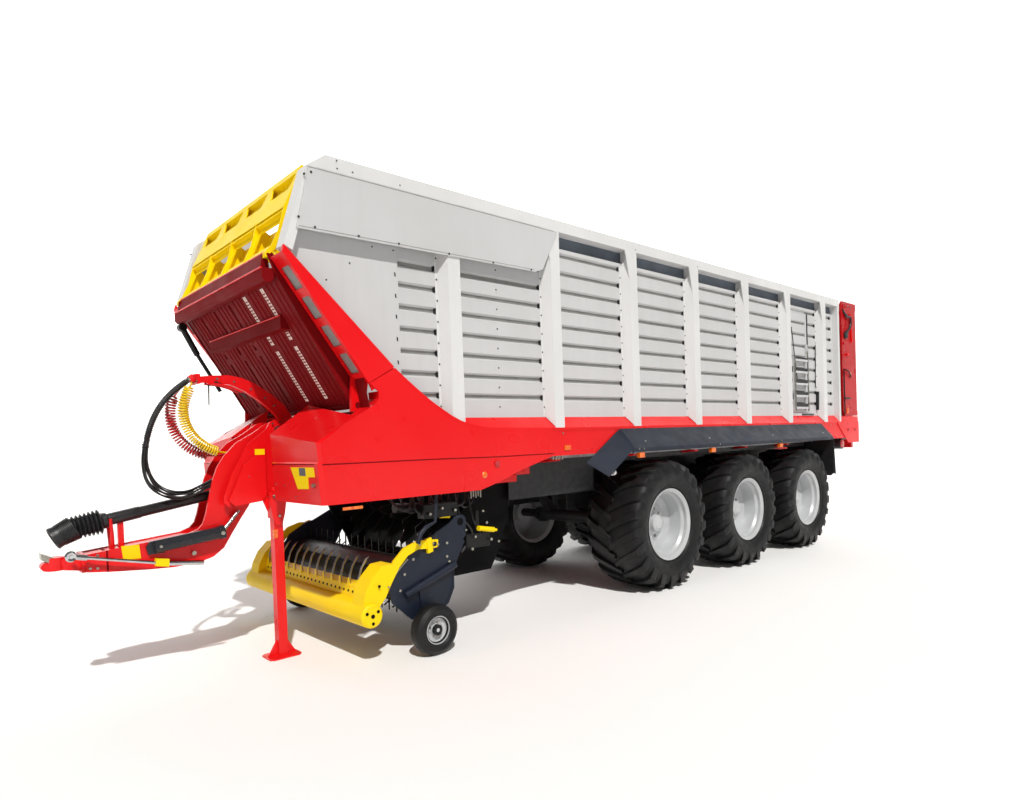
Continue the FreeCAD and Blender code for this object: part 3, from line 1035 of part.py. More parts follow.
# ---------------------------------------------------------------- pick-up
def pickup():
    side_plate = [
        ("ReelX + 332", "ReelZ + 12"), ("ReelX + 300", "ReelZ - 120"), ("ReelX + 120", "ReelZ - 290"),
        ("ReelX - 40", "ReelZ - 300"), ("ReelX - 160", "ReelZ - 250"), ("ReelX - 226", "ReelZ + 42"),
        ("LiftX - 60", "LiftZ - 120"), ("LiftX - 62", "LiftZ + 30"), ("LiftX - 30", "LiftZ + 60"),
        ("LiftX + 40", "LiftZ + 60"), ("LiftX + 120", "LiftZ"), ("GuardX + 30", "GuardZ + 55"),
        ("GuardX + 90", "GuardZ + 50"), ("ReelX + 180", "ReelZ + 250")]
    cheek = [
        ("ReelX + 60", "ReelZ - 296"), ("ReelX - 160", "ReelZ - 310"), ("ReelX - 280", "ReelZ - 220"),
        ("ReelX - 345", "ReelZ - 100"), ("ReelX - 352", "ReelZ + 80"), ("LiftX - 50", "LiftZ - 180"),
        ("LiftX + 60", "LiftZ - 60"), ("ReelX", "ReelZ + 200")]
    pieces = []
    for side in (-1, 1):
        pieces.append(plate(f"PickupCheek{side + 1}", cheek,
                            *signed(side, "PickupHalf - PickupPlate", "PickupHalf - 10")))
        pieces.append(plate(f"PickupSide{side + 1}", side_plate,
                            *signed(side, "PickupHalf - PickupPlate", "PickupHalf")))
        outside = f"{side}*(PickupHalf + 22)"
        pieces.append(bar(f"GaugeArm{side + 1}", ("3581", outside, "514"), ("3051", outside, "696"), "30"))
        pieces.append(rod(f"GaugeAxle{side + 1}", "Y", "GaugeAxle", *signed(side, "PickupHalf - 10", "GaugeHalf + 20"),
                          ("GaugeX", "GaugeRadius")))
        pieces.append(plate(f"GaugeFork{side + 1}", [
            ("GaugeX - 30", "GaugeRadius - 25"), ("GaugeX + 30", "GaugeRadius - 25"), ("GaugeX + 60", "560"),
            ("GaugeX - 60", "600")], *signed(side, "PickupHalf", "PickupHalf + 16")))
        pieces.append(rod(f"GuardPin{side + 1}", "Y", "GuardPin", *signed(side, "PickupHalf - 5", "PickupHalf + 32"),
                          ("GuardX", "GuardZ")))
    pieces.append(plate("PickupPan", [
        ("ReelX - 160", "ReelZ - 290"), ("ReelX - 215", "ReelZ - 250"), ("ReelX - 265", "ReelZ - 200"),
        ("ReelX - 302", "ReelZ - 140"), ("ReelX - 325", "ReelZ - 60"), ("ReelX - 334", "ReelZ + 60"),
        ("ReelX - 342", "ReelZ + 60"), ("ReelX - 333", "ReelZ - 64"), ("ReelX - 309", "ReelZ - 146"),
        ("ReelX - 271", "ReelZ - 207"), ("ReelX - 220", "ReelZ - 258"), ("ReelX - 164", "ReelZ - 299")],
        "-PickupHalf + 5", "PickupHalf - 5"))
    bores = [rod("LiftBore", "Y", "LiftPin + RunClear", "-PickupHalf - 5", "PickupHalf + 5", ("LiftX", "LiftZ")),
             rod("ReelBore", "Y", "ReelShaft + RunClear", "-PickupHalf - 5", "PickupHalf + 5", ("ReelX", "ReelZ"))]
    node("pickup_frame", cut("PickupFrameBored", fuse("PickupFrame", pieces), fuse("PickupBores", bores)))
    reel()
    crop_guard()
    gauge_wheels()


def reel():
    """A turned drum on its shaft, with a comb of tines repeated round it."""
    body = doc.addObject("PartDesign::Body", "Reel")
    drum = profile(body, "ReelSketch", [
        ("0", "-PickupHalf"), ("ReelShaft", "-PickupHalf"), ("ReelShaft", "-PickupHalf + 30"),
        ("ReelDrum", "-PickupHalf + 30"), ("ReelDrum", "PickupHalf - 30"), ("ReelShaft", "PickupHalf - 30"),
        ("ReelShaft", "PickupHalf"), ("0", "PickupHalf")], "XY_Plane")
    turn = body.newObject("PartDesign::Revolution", "ReelTurn")
    turn.Profile = drum
    turn.ReferenceAxis = (drum, ["V_Axis"])
    turn.Angle = 360
    doc.recompute()
    comb = [("PickupHalf - 45", "ReelDrum - 15"), ("-PickupHalf + 45", "ReelDrum - 15")]
    pitch = "((2*PickupHalf - 90 - TineWide) / (TineCount - 1))"
    for index in range(int(value("TineCount"))):
        low = f"-PickupHalf + 45 + {index}*{pitch}"
        comb += [(low, "ReelRadius"), (f"{low} + TineWide", "ReelRadius")]
        if index < int(value("TineCount")) - 1:
            comb += [(f"{low} + TineWide", "ReelDrum + 12"), (f"{low} + {pitch}", "ReelDrum + 12")]
    tines = body.newObject("PartDesign::Pad", "TineComb")
    tines.Profile = profile(body, "TineSketch", comb, "YZ_Plane")
    tines.setExpression("Length", "8")
    doc.recompute()
    polar(body, tines, "ReelRows")
    body.setExpression("Placement.Base.x", bound("ReelX"))
    body.setExpression("Placement.Base.z", bound("ReelZ"))
    node("pickup_reel", body)


def crop_guard():
    """The yellow guard: curved side arms, end sheets, the roller, and wires over a perforated strip."""
    outer = "PickupHalf + GuardGap + 24"
    end = f"{outer} + RollerOver"
    pieces = [turned("RollerTube", [
        ("0", f"-({end})"), ("RollerRadius - 14", f"-({end})"), ("RollerRadius", f"-({end}) + 14"),
        ("RollerRadius", f"{end} - 14"), ("RollerRadius - 14", end), ("0", end)], "RollerX", "0", "RollerZ")]
    arm = [
        ("RollerX + 30", "RollerZ + 40"), ("RollerX - 50", "RollerZ + 10"), ("3776", "530"), ("3712", "640"),
        ("3632", "760"), ("3548", "842"), ("3440", "882"), ("GuardX + 30", "GuardZ - 36"), ("GuardX - 34", "GuardZ - 30"),
        ("GuardX - 38", "GuardZ + 34"), ("GuardX + 50", "GuardZ + 40"), ("3440", "952"), ("3576", "912"),
        ("3684", "816"), ("3770", "690"), ("3836", "576")]
    shield = [
        ("RollerX + 40", "RollerZ + 50"), ("3860", "520"), ("3790", "650"), ("3720", "760"), ("3700", "800"),
        ("3800", "795"), ("3900", "700"), ("3960", "590"), ("RollerX + 66", "RollerZ + 30")]
    for side in (-1, 1):
        low, high = signed(side, "PickupHalf + GuardGap", outer)
        pieces.append(plate(f"GuardArm{side + 1}", arm, low, high))
        low, high = signed(side, "PickupHalf - 150", outer)
        pieces.append(plate(f"GuardShield{side + 1}", shield, low, high))
        low, high = signed(side, "PickupHalf + GuardGap + 2", f"{outer} + 10")
        pieces.append(plate(f"GuardClamp{side + 1}", [
            ("GuardX + 24", "GuardZ - 60"), ("GuardX + 74", "GuardZ - 72"), ("GuardX + 90", "GuardZ + 50"),
            ("GuardX + 40", "GuardZ + 62")], low, high))
    pieces.append(plate("GuardBeam", [
        ("RollerX - 50", "RollerZ + 70"), ("RollerX - 22", "RollerZ + 88"), ("RollerX - 42", "RollerZ + 192"),
        ("RollerX - 118", "RollerZ + 210"), ("RollerX - 118", "RollerZ + 198"), ("RollerX - 54", "RollerZ + 182")],
        f"-({outer}) + 5", f"{outer} - 5"))
    count = int(value("WireCount"))
    for index in range(count):
        y = f"-PickupHalf + 210 + {index}*(2*PickupHalf - 420)/(WireCount - 1)"
        points = [("RollerX - 48", y, "RollerZ + 188"), ("RollerX - 52", y, "RollerZ + 262"),
                  ("RollerX - 76", y, "RollerZ + 336"), ("RollerX - 124", y, "RollerZ + 404")]
        for stretch in range(3):
            pieces.append(bar(f"Wire{index}_{stretch}", points[stretch], points[stretch + 1], "WireRadius"))
    bore = rod("GuardBore", "Y", "GuardPin + RunClear", "-PickupHalf - 60", "PickupHalf + 60", ("GuardX", "GuardZ"))
    node("crop_guard", cut("CropGuard", fuse("CropGuardWhole", pieces), bore))


def gauge_wheels():
    """A small tyre on its dished rim, turned in one piece."""
    outline = [
        ("GaugeAxle + RunClear", "-GaugeWide/2 + 5"), ("45", "-GaugeWide/2 + 5"), ("45", "-10"),
        ("GaugeRim - 16", "0"), ("GaugeRim - 8", "-GaugeWide/2 + 22"), ("GaugeRim", "-GaugeWide/2 + 22"),
        ("GaugeRim + 20", "-GaugeWide/2 + 4"), ("GaugeRadius - 40", "-GaugeWide/2"), ("GaugeRadius - 8", "-GaugeWide/2 + 24"),
        ("GaugeRadius", "-GaugeWide/2 + 50"), ("GaugeRadius", "GaugeWide/2 - 50"), ("GaugeRadius - 8", "GaugeWide/2 - 24"),
        ("GaugeRadius - 40", "GaugeWide/2"), ("GaugeRim + 20", "GaugeWide/2 - 4"), ("GaugeRim", "GaugeWide/2 - 22"),
        ("GaugeRim - 8", "GaugeWide/2 - 22"), ("GaugeRim - 16", "12"), ("45", "8"), ("45", "GaugeWide/2 - 20"),
        ("GaugeAxle + RunClear", "GaugeWide/2 - 20")]
    left = turned("GaugeWheel", outline, "GaugeX", "GaugeHalf", "GaugeRadius")
    both_sides("gauge_wheel", left)


def rotor():
    """Stars of curved tines on a tube, each turned a little from the last, in their housing over the knives."""
    pieces = [rod("RotorTubeBar", "Y", "RotorTube", "-RotorHalf", "RotorHalf", ("RotorX", "RotorZ"))]
    count = int(value("RotorStars"))
    teeth = int(value("RotorTeeth"))
    for index in range(count):
        y = value(f"-RotorHalf + 50 + {index}*(2*RotorHalf - 100)/(RotorStars - 1)")
        corners = []
        for tooth in range(teeth):
            start = math.radians(360 / teeth * tooth + 8 * index)
            for step, share in ((0, 0.98), (0.12, 1.0), (0.3, 0.72), (0.5, 0.5)):
                turn = start + step * math.radians(360 / teeth)
                reach = value("RotorRadius") * share
                corners.append(Vector(reach * math.sin(turn), 0, reach * math.cos(turn)))
        star = Part.Face(Part.makePolygon(corners + corners[:1])).extrude(Vector(0, 12, 0))
        star.translate(Vector(value("RotorX"), y, value("RotorZ")))
        pieces.append(shaped(f"Star{index}", star))
    pieces.append(rod("RotorShaftBar", "Y", "RotorShaft", "-RotorHalf - 60", "RotorHalf + 60", ("RotorX", "RotorZ")))
    node("feed_rotor", fuse("FeedRotor", pieces))
    outline = [
        ("RotorX + 200", "RotorZ - 525"), ("RotorX + 270", "RotorZ - 300"), ("RotorX + 330", "RotorZ - 200"),
        ("RotorX + 430", "RotorZ - 60"), ("RotorX + 480", "RotorZ + 60"), ("RotorX + 480", "SideFoot"), ("RotorX + 415", "SideFoot"),
        ("RotorX - 480", "SideFoot + 60"), ("RotorX - 480", "RotorZ - 120"), ("RotorX - 400", "RotorZ - 330"),
        ("RotorX - 270", "RotorZ - 525")]
    sides = []
    for side in (-1, 1):
        sides.append(plate(f"RotorSide{side + 1}", outline, *signed(side, "RotorHalf + 20", "RotorHalf + 60")))
        sides.append(rod(f"LiftPinBar{side + 1}", "Y", "LiftPin", *signed(side, "RotorHalf + 50", "PickupHalf"),
                         ("LiftX", "LiftZ")))
        sides.append(rod(f"RotorDrive{side + 1}", "Y", "120", *signed(side, "RotorHalf + 60", "RotorHalf + 100"),
                         ("RotorX", "RotorZ")))
    sides.append(plate("RotorBack", [
        ("RotorX - 520", "RotorZ - 120"), ("RotorX - 480", "RotorZ - 120"), ("RotorX - 480", "SideFoot + 70"),
        ("RotorX - 520", "SideFoot + 70")], "-RotorHalf - 60", "RotorHalf + 60"))
    bore = rod("RotorBore", "Y", "RotorShaft + RunClear", "-RotorHalf - 62", "RotorHalf + 62", ("RotorX", "RotorZ"))
    housing = cut("RotorHousing", fuse("RotorHousingWhole", sides), bore)
    knives = [box("KnifeBeam", ("RotorX - 250", "RotorX + 160"), ("-RotorHalf - 20 + FaceGap", "RotorHalf + 20 - FaceGap"),
                  ("RotorZ - 520", "RotorZ - 470"))]
    for index in range(int(value("KnifeCount"))):
        y = f"-RotorHalf + 60 + {index}*(2*RotorHalf - 120)/(KnifeCount - 1)"
        knives.append(plate(f"Knife{index}", [
            ("RotorX - 220", "RotorZ - 475"), ("RotorX + 130", "RotorZ - 475"), ("RotorX + 60", "RotorZ - 412"),
            ("RotorX - 120", "RotorZ - 420")], f"{y} - 4", f"{y} + 4"))
    node("rotor_housing", housing)
    node("knife_bank", fuse("KnifeBank", knives))


# ---------------------------------------------------------------- front wall, flap, hose arm
def front_wall():
    """The sloping front sheet with open strips, its cross beams and rams, and the yellow flap above."""
    sheet_solid = plate("WallSheet", [
        ("WallPivotX - 20", "WallPivotZ"), ("WallPivotX + 5", "WallPivotZ - 12"), ("WallTopX", "WallTopZ"),
        ("WallTopX - 25", "WallTopZ + 15")], "-FrontHalf", "FrontHalf")
    slots = []
    for index in range(int(value("StripCount"))):
        y = f"({index} - (StripCount - 1)/2) * (FrontHalf - 160) * 2 / StripCount"
        foot = ("WallPivotX", y, "WallPivotZ")
        head = ("WallTopX - 12", y, "WallTopZ")
        slots.append(beam(f"WallSlot{index}_0", foot, head, "44", "90", 0.09, 0.5))
        slots.append(beam(f"WallSlot{index}_1", foot, head, "44", "90", 0.55, 0.92))
    open_sheet = cut("WallSheetOpen", sheet_solid, group("WallSlots", slots))
    pieces = [open_sheet]
    pieces.append(plate("WallBeamUpper", [
        ("WallTopX - 10", "WallTopZ - 70"), ("WallTopX + 8", "WallTopZ - 100"), ("WallTopX + 60", "WallTopZ - 100"),
        ("WallTopX + 80", "WallTopZ - 76"), ("WallTopX + 80", "WallTopZ - 10"), ("WallTopX + 60", "WallTopZ"), ("WallTopX - 10", "WallTopZ")],
        "-FrontHalf", "FrontHalf"))
    pieces.append(box("WallBeamLower", ("WallPivotX + 390", "WallPivotX + 470"), ("-FrontHalf + 250", "FrontHalf - 250"),
                      ("WallPivotZ + 610", "WallPivotZ + 710")))
    for side in (-1, 0, 1):
        y = f"{side}*(FrontHalf - 330)"
        pieces.append(plate(f"WallProp{side + 1}", [
            ("WallPivotX + 335", "WallPivotZ + 560"), ("WallPivotX + 400", "WallPivotZ + 615"),
            ("WallPivotX + 400", "WallPivotZ + 705"), ("WallPivotX + 400", "WallPivotZ + 660")],
            f"{y} - 30", f"{y} + 30"))
    pieces.append(rod("WallShaftBar", "Y", "WallShaft", "-FrontHalf - 62", "FrontHalf + 62",
                      ("WallPivotX", "WallPivotZ")))
    for side in (-1, 1):
        pieces.append(plate(f"FlapEar{side + 1}", [
            ("WallTopX", "WallTopZ - 20"), ("WallTopX + 70", "WallTopZ - 20"), ("FlapPivotX + 22", "FlapPivotZ + 6"),
            ("FlapPivotX + 12", "FlapPivotZ + 18"), ("FlapPivotX - 12", "FlapPivotZ + 18"),
            ("FlapPivotX - 22", "FlapPivotZ + 6")], *signed(side, "FlapHalf - 75", "FlapHalf - 55")))
        pieces.append(rod(f"FlapPinBar{side + 1}", "Y", "FlapPin", *signed(side, "FlapHalf - 70", "FlapHalf"),
                          ("FlapPivotX", "FlapPivotZ")))
    node("front_wall", fuse("FrontWall", pieces))
    y = "-FrontHalf + 60"
    foot = ("WallPivotX + 330", y, "WallPivotZ + 260")
    middle = ("WallTopX - 95", y, "WallTopZ - 395")
    head = ("WallTopX + 35", y, "WallTopZ - 138")
    node("wall_rams", fuse("WallRam", [
        bar("WallRamRod", foot, middle, "18"), bar("WallRamTube", middle, head, "28"),
        rod("WallRamEye", "Y", "38", f"{y} - 34", f"{y} + 34", ("WallTopX + 35", "WallTopZ - 138.3"))]))
    top_flap()


def top_flap():
    """A skin with a fold, ribs that divide it into bays, windows in its lower row and edge beams."""
    middle = "(FlapPivotZ + FlapTopZ)/2"
    back = [("FlapPivotX - 52", "FlapPivotZ + 36"), ("FlapPivotX - 190", middle), ("FlapTopX - 52", "FlapTopZ - 18")]
    face = [("FlapTopX - 42", "FlapTopZ - 14"), ("FlapPivotX - 180", f"{middle} + 4"), ("FlapPivotX - 42", "FlapPivotZ + 38")]
    skin = plate("FlapSkin", back + face, "-FlapHalf", "FlapHalf")
    bay = "(2*FlapHalf / FlapBays)"
    windows = []
    for index in range(int(value("FlapBays"))):
        y = f"-FlapHalf + ({index} + 0.5)*{bay}"
        windows.append(beam(f"FlapWindow{index}", ("FlapPivotX - 47", y, "FlapPivotZ + 36"),
                            ("FlapPivotX - 185", y, middle), f"{bay} - 90", "60", 0.2, 0.78))
    pieces = [cut("FlapSkinOpen", skin, group("FlapWindows", windows))]
    rib = [("FlapPivotX - 46", "FlapPivotZ + 40"), ("FlapPivotX - 14", "FlapPivotZ + 44"),
           ("FlapPivotX - 88", "FlapPivotZ + 200"), ("FlapPivotX - 138", f"{middle} + 20"),
           ("FlapTopX + 48", "FlapTopZ - 130"), ("FlapTopX", "FlapTopZ"), ("FlapTopX - 46", "FlapTopZ - 16"),
           ("FlapPivotX - 184", middle)]
    count = int(value("FlapBays"))
    for index in range(count + 1):
        y = f"-FlapHalf + {index}*(2*FlapHalf - 12)/FlapBays"
        pieces.append(plate(f"FlapRib{index}", rib, y, f"{y} + 12"))
    pieces.append(plate("FlapTopBeam", [
        ("FlapTopX - 46", "FlapTopZ - 16"), ("FlapTopX", "FlapTopZ"), ("FlapTopX + 22", "FlapTopZ - 56"),
        ("FlapTopX - 26", "FlapTopZ - 74")], "-FlapHalf", "FlapHalf"))
    pieces.append(plate("FlapFold", [
        ("FlapPivotX - 186", f"{middle} + 6"), ("FlapPivotX - 152", f"{middle} + 26"), ("FlapPivotX - 132", f"{middle} - 16"),
        ("FlapPivotX - 172", f"{middle} - 30")], "-FlapHalf", "FlapHalf"))
    cover = plate("FlapCover", [
        ("FlapPivotX - 140", f"{middle} + 12"), ("FlapPivotX - 132", f"{middle} + 12"),
        ("FlapTopX + 54", "FlapTopZ - 130"), ("FlapTopX + 24", "FlapTopZ - 50"), ("FlapTopX + 14", "FlapTopZ - 54"),
        ("FlapTopX + 44", "FlapTopZ - 132")], "-FlapHalf", "FlapHalf")
    pockets = []
    for index in range(count):
        y = f"-FlapHalf + ({index} + 0.5)*{bay}"
        pockets.append(plate(f"FlapPocket{index}", [
            (f"{y} - {bay}/2 + 45", "FlapTopZ - 56"), (f"{y} - {bay}/2 + 95", "FlapTopZ - 172"),
            (f"{y} + {bay}/2 - 95", "FlapTopZ - 172"), (f"{y} + {bay}/2 - 45", "FlapTopZ - 56")],
            "FlapTopX - 20", "FlapTopX + 120", "X"))
    pieces.append(cut("FlapCoverOpen", cover, group("FlapPockets", pockets)))
    pieces.append(rod("FlapTube", "Y", "16", "-FlapHalf", "FlapHalf", ("FlapPivotX - 42", "FlapPivotZ + 52")))
    for side in (-1, 1):
        pieces.append(plate(f"FlapLug{side + 1}", [
            ("FlapPivotX - 25", "FlapPivotZ - 20"), ("FlapPivotX + 20", "FlapPivotZ - 20"),
            ("FlapPivotX + 20", "FlapPivotZ + 15"), ("FlapPivotX - 14", "FlapPivotZ + 60"),
            ("FlapPivotX - 50", "FlapPivotZ + 60")], *signed(side, "FlapHalf - 49", "FlapHalf")))
    bore = rod("FlapBore", "Y", "FlapPin + RunClear", "-FlapHalf - 5", "FlapHalf + 5", ("FlapPivotX", "FlapPivotZ"))
    node("top_flap", cut("TopFlap", fuse("TopFlapWhole", pieces), bore))


def hose_arm():
    """A curved arm from the cross beam up through the neck, with the block that holds the hoses."""
    arm = plate("HoseArmSheet", [
        ("CrossX + 5", "CrossTop"), ("CrossX + 75", "CrossTop"), ("CrossX + 75", "1890"), ("4082", "1985"),
        ("4150", "2075"), ("4230", "2150"), ("4310", "2212"), ("4420", "2280"), ("4530", "2325"), ("4680", "2338"),
        ("4830", "2335"), ("4830", "2380"), ("4680", "2398"), ("4540", "2405"), ("4430", "2385"), ("4330", "2345"),
        ("4249", "2296"), ("4160", "2235"), ("4070", "2160"), ("4000", "2062"), ("CrossX + 5", "1940")], "-28", "28")
    block = plate("HoseBlock", [
        ("4778", "2328"), ("4806", "2318"), ("4822", "2340"), ("4830", "2400"), ("4790", "2404")], "-78", "78")
    pieces = [arm, block, gland("HoseStart", HOSE_ROUTE, "HoseRadius + 4", "42"),
              gland("YellowStart", YELLOW_ROUTE, "20", "30"), gland("RedStart", RED_ROUTE, "20", "42")]
    node("hose_arm", fuse("HoseArm", pieces))


# ---------------------------------------------------------------- rear
def tailgate():
    """The back sheet with upright ribs, and side wings that close over the wall's ends."""
    pieces = [box("GateBack", ("-RearEnd + 22", "-RearEnd + GateSheet"), ("-BodyHalf", "BodyHalf"),
                  ("GateFoot", "RailTop"))]
    count = int(value("GateRibs"))
    for index in range(count):
        y = f"({index} - (GateRibs - 1)/2) * (2*BodyHalf - 160) / (GateRibs - 1)"
        pieces.append(box(f"GateRib{index}", ("-RearEnd", "-RearEnd + 22"), (f"{y} - 45", f"{y} + 45"),
                          ("GateFoot + 90", "RailTop - 120")))
    for index, (low, high) in enumerate((("GateFoot", "GateFoot + 90"), ("RailTop - 120", "RailTop"))):
        pieces.append(box(f"GateRailBar{index}", ("-RearEnd", "-RearEnd + 22"), ("-BodyHalf", "BodyHalf"), (low, high)))
    wing = [
        ("-RearEnd + GateSheet", "GateFoot"), ("-GateFront - 60", "GateFoot"), ("-GateFront", "GateFoot + 90"),
        ("-GateFront", "RailTop - 40"), ("-GateFront - 40", "RailTop"), ("-RearEnd + GateSheet", "RailTop")]
    for side in (-1, 1):
        pieces.append(plate(f"GateWing{side + 1}", wing, *signed(side, "BodyHalf - GateSheet", "BodyHalf")))
        pieces.append(plate(f"GateHinge{side + 1}", [
            ("-GatePivotX - 70", "GatePivotZ - 130"), ("-GatePivotX + 50", "GatePivotZ - 60"),
            ("-GatePivotX + 50", "GatePivotZ + 45"), ("-GatePivotX - 90", "GatePivotZ + 60")],
            *signed(side, "BodyHalf", "BodyHalf + 16")))
        for step in range(3):
            pieces.append(box(f"GateLatch{side + 1}_{step}", ("-GateFront - 190", "-GateFront - 60"),
                              signed(side, "BodyHalf", "BodyHalf + 14"),
                              (f"GateFoot + 260 + {step}*480", f"GateFoot + 300 + {step}*480")))
    pieces.append(box("GateLower", ("-RearEnd", "-RearEnd + GateSheet"), ("-WallInner + 8", "WallInner - 8"),
                      ("FloorTop + 10", "GateFoot")))
    bore = rod("GateBore", "Y", "GatePinRadius + RunClear", "-BodyHalf - 25", "BodyHalf + 25",
               ("-GatePivotX", "GatePivotZ"))
    node("tailgate", cut("Tailgate", fuse("TailgateWhole", pieces), bore))
    rams = []
    for side in (-1, 1):
        across = ("-WallRear - 50", f"{side}*(BodyHalf - 45)")
        tube = rod(f"GateRam{side + 1}", "Z", "26", "GateFoot - 8 + FaceGap", "GateFoot + 760", across)
        stem = rod(f"GateRamRod{side + 1}", "Z", "16", "GateFoot + 740", "GateFoot + 1420", across)
        eye = rod(f"GateRamEye{side + 1}", "Y", "26", f"{side}*(BodyHalf - 45) - 22", f"{side}*(BodyHalf - 45) + 22",
                  ("-WallRear - 50", "GateFoot + 1430"))
        rams.append(fuse(f"GateRamWhole{side + 1}", [tube, stem, eye]))
    node("gate_rams", group("GateRams", rams))


def lamps():
    """Side markers on the hoods and sills, and the clusters under the rear corners."""
    pieces = []
    for side in (-1, 1):
        face = signed(side, "HoodSide", "HoodSide + 10")
        pieces.append(rod(f"HoodMarker{side + 1}", "Y", "30", *face, ("2640", "1560")))
        for index in range(2):
            pieces.append(rod(f"SillMarker{side + 1}_{index}", "Y", "22", *signed(side, "BodyHalf + 12", "BodyHalf + 22"),
                              (f"-RearEnd + 180 + {index}*300", "BeamTop - 140")))
        pieces.append(box(f"Cluster{side + 1}", ("-RearEnd - 6", "-RearEnd + 20"),
                          signed(side, "BodyHalf - 420", "BodyHalf - 130"),
                          ("FloorTop - BumperDrop + 15", "FloorTop - BumperDrop + 95")))
    node("lamps", group("Lamps", pieces))


wall_frame()
wall_panels()
access_door()
side_beams()
load_floor()
main_frame()
input_gearbox()
neck()
hood()
band()
fender()
axles()
wheels()
drawbar()
jack()
pickup()
rotor()
front_wall()
hose_arm()
hoses()
tailgate()
lamps()

doc.recompute()
for item in doc.Objects:
    if "Invalid" in item.State or "Error" in item.State:
        raise ValueError(f"{item.Name} did not build")
for item in nodes:
    if item.Shape.isNull() or not item.Shape.isValid():
        raise ValueError(f"{item.Label} is not a valid shape")
os.makedirs("parts", exist_ok=True)
for item in nodes:
    item.Shape.exportStep(f"parts/{item.Label}.step")
print(len(nodes), "pieces")
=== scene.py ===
# %% [markdown]
# # A loader wagon for cut grass
# The wagon is a long slatted steel body on three axles, with a pick-up reel and a curved drawbar in front.
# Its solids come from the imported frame. They already have the right shapes and joints, so most of them
# only get the finish of the real surface. This script adds what is too fine for a solid: tread, rivets,
# hoses, coils, bellows, grilles and lamps. Each piece rides on the body that would carry it.

import math

import bpy
from mathutils import Matrix, Vector


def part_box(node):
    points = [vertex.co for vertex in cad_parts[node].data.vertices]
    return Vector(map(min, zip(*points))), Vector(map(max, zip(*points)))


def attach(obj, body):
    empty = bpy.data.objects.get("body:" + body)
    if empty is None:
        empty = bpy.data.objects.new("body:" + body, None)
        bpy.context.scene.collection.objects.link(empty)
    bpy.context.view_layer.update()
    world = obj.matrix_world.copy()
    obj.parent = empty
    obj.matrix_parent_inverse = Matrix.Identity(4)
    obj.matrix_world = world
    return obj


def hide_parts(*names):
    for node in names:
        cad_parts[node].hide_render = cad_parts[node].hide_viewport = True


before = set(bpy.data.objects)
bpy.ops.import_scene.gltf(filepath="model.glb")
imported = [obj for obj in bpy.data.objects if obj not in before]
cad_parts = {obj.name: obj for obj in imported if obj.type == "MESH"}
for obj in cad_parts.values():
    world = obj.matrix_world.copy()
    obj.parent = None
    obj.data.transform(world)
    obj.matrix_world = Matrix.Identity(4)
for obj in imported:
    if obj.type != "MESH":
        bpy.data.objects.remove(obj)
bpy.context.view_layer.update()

# %% [markdown]
# ## Camera
# A camera is a direction, a place and a lens. Yaw turns it about the vertical, pitch nods it, and roll tilts
# the horizon. From those come three unit vectors, which are the columns of the camera's own matrix. The lens
# is short, because the camera stands close to the wagon, and the small shift frames the whole of it.

# %% Camera
CAMERA_PLACE = Vector((6.6156, 5.7775, 1.7828))
YAW, PITCH, ROLL = (math.radians(angle) for angle in (227.79, -1.27, -2.01))
LENS_MM = 23.37
SENSOR_MM = 36.0
SHIFT = (0.0059, 0.0524)
FARTHEST = 200

forward = Vector((math.cos(YAW) * math.cos(PITCH), math.sin(YAW) * math.cos(PITCH), math.sin(PITCH)))
level = Vector((math.sin(YAW), -math.cos(YAW), 0))
upright = level.cross(forward)
right = math.cos(ROLL) * level + math.sin(ROLL) * upright
top = math.cos(ROLL) * upright - math.sin(ROLL) * level

camera = bpy.data.objects.new("camera", bpy.data.cameras.new("camera"))
camera.matrix_world = Matrix.Translation(CAMERA_PLACE) @ Matrix((right, top, -forward)).transposed().to_4x4()
camera.data.sensor_width = SENSOR_MM
camera.data.lens = LENS_MM
camera.data.shift_x, camera.data.shift_y = SHIFT
camera.data.clip_end = FARTHEST
bpy.context.scene.collection.objects.link(camera)
bpy.context.scene.camera = camera
print("camera looks along", tuple(round(part, 3) for part in forward))

# %% [markdown]
# ## Shapes from numbers
# Everything here is built from a few kinds of shape: a tube along points, a box, a flat outline with
# thickness, and a profile turned about an axle. Each helper gives back points and faces, and `piece` joins
# any number of them in one object, with a finish, a body to ride on and, where edges would catch the light,
# a small bevel. That keeps the object list short and the mesh free of loose parts.

# %% Shape helpers
def tube(points, radius, sides=10):
    """A round bar through points. The radius is a number, or one number for each point."""
    points = [Vector(p) for p in points]
    radii = radius if isinstance(radius, (list, tuple)) else [radius] * len(points)
    corners, faces = [], []
    side = None
    for index, here in enumerate(points):
        ahead = (points[min(index + 1, len(points) - 1)] - points[max(index - 1, 0)]).normalized()
        if side is None:
            side = ahead.orthogonal().normalized()
        side = (side - ahead * side.dot(ahead)).normalized()
        other = ahead.cross(side)
        for turn in range(sides):
            angle = 2 * math.pi * turn / sides
            corners.append(here + radii[index] * (math.cos(angle) * side + math.sin(angle) * other))
    for ring in range(len(points) - 1):
        for turn in range(sides):
            a, b = ring * sides + turn, ring * sides + (turn + 1) % sides
            faces.append((a, b, b + sides, a + sides))
    faces.append(tuple(reversed(range(sides))))
    faces.append(tuple(range((len(points) - 1) * sides, len(points) * sides)))
    return corners, faces


def block(low, high):
    """A box from its lowest to its highest corner."""
    x, y, z = zip(low, high)
    corners = [Vector((x[a], y[b], z[c])) for a in (0, 1) for b in (0, 1) for c in (0, 1)]
    return corners, [(0, 1, 3, 2), (4, 6, 7, 5), (0, 4, 5, 1), (2, 3, 7, 6), (0, 2, 6, 4), (1, 5, 7, 3)]


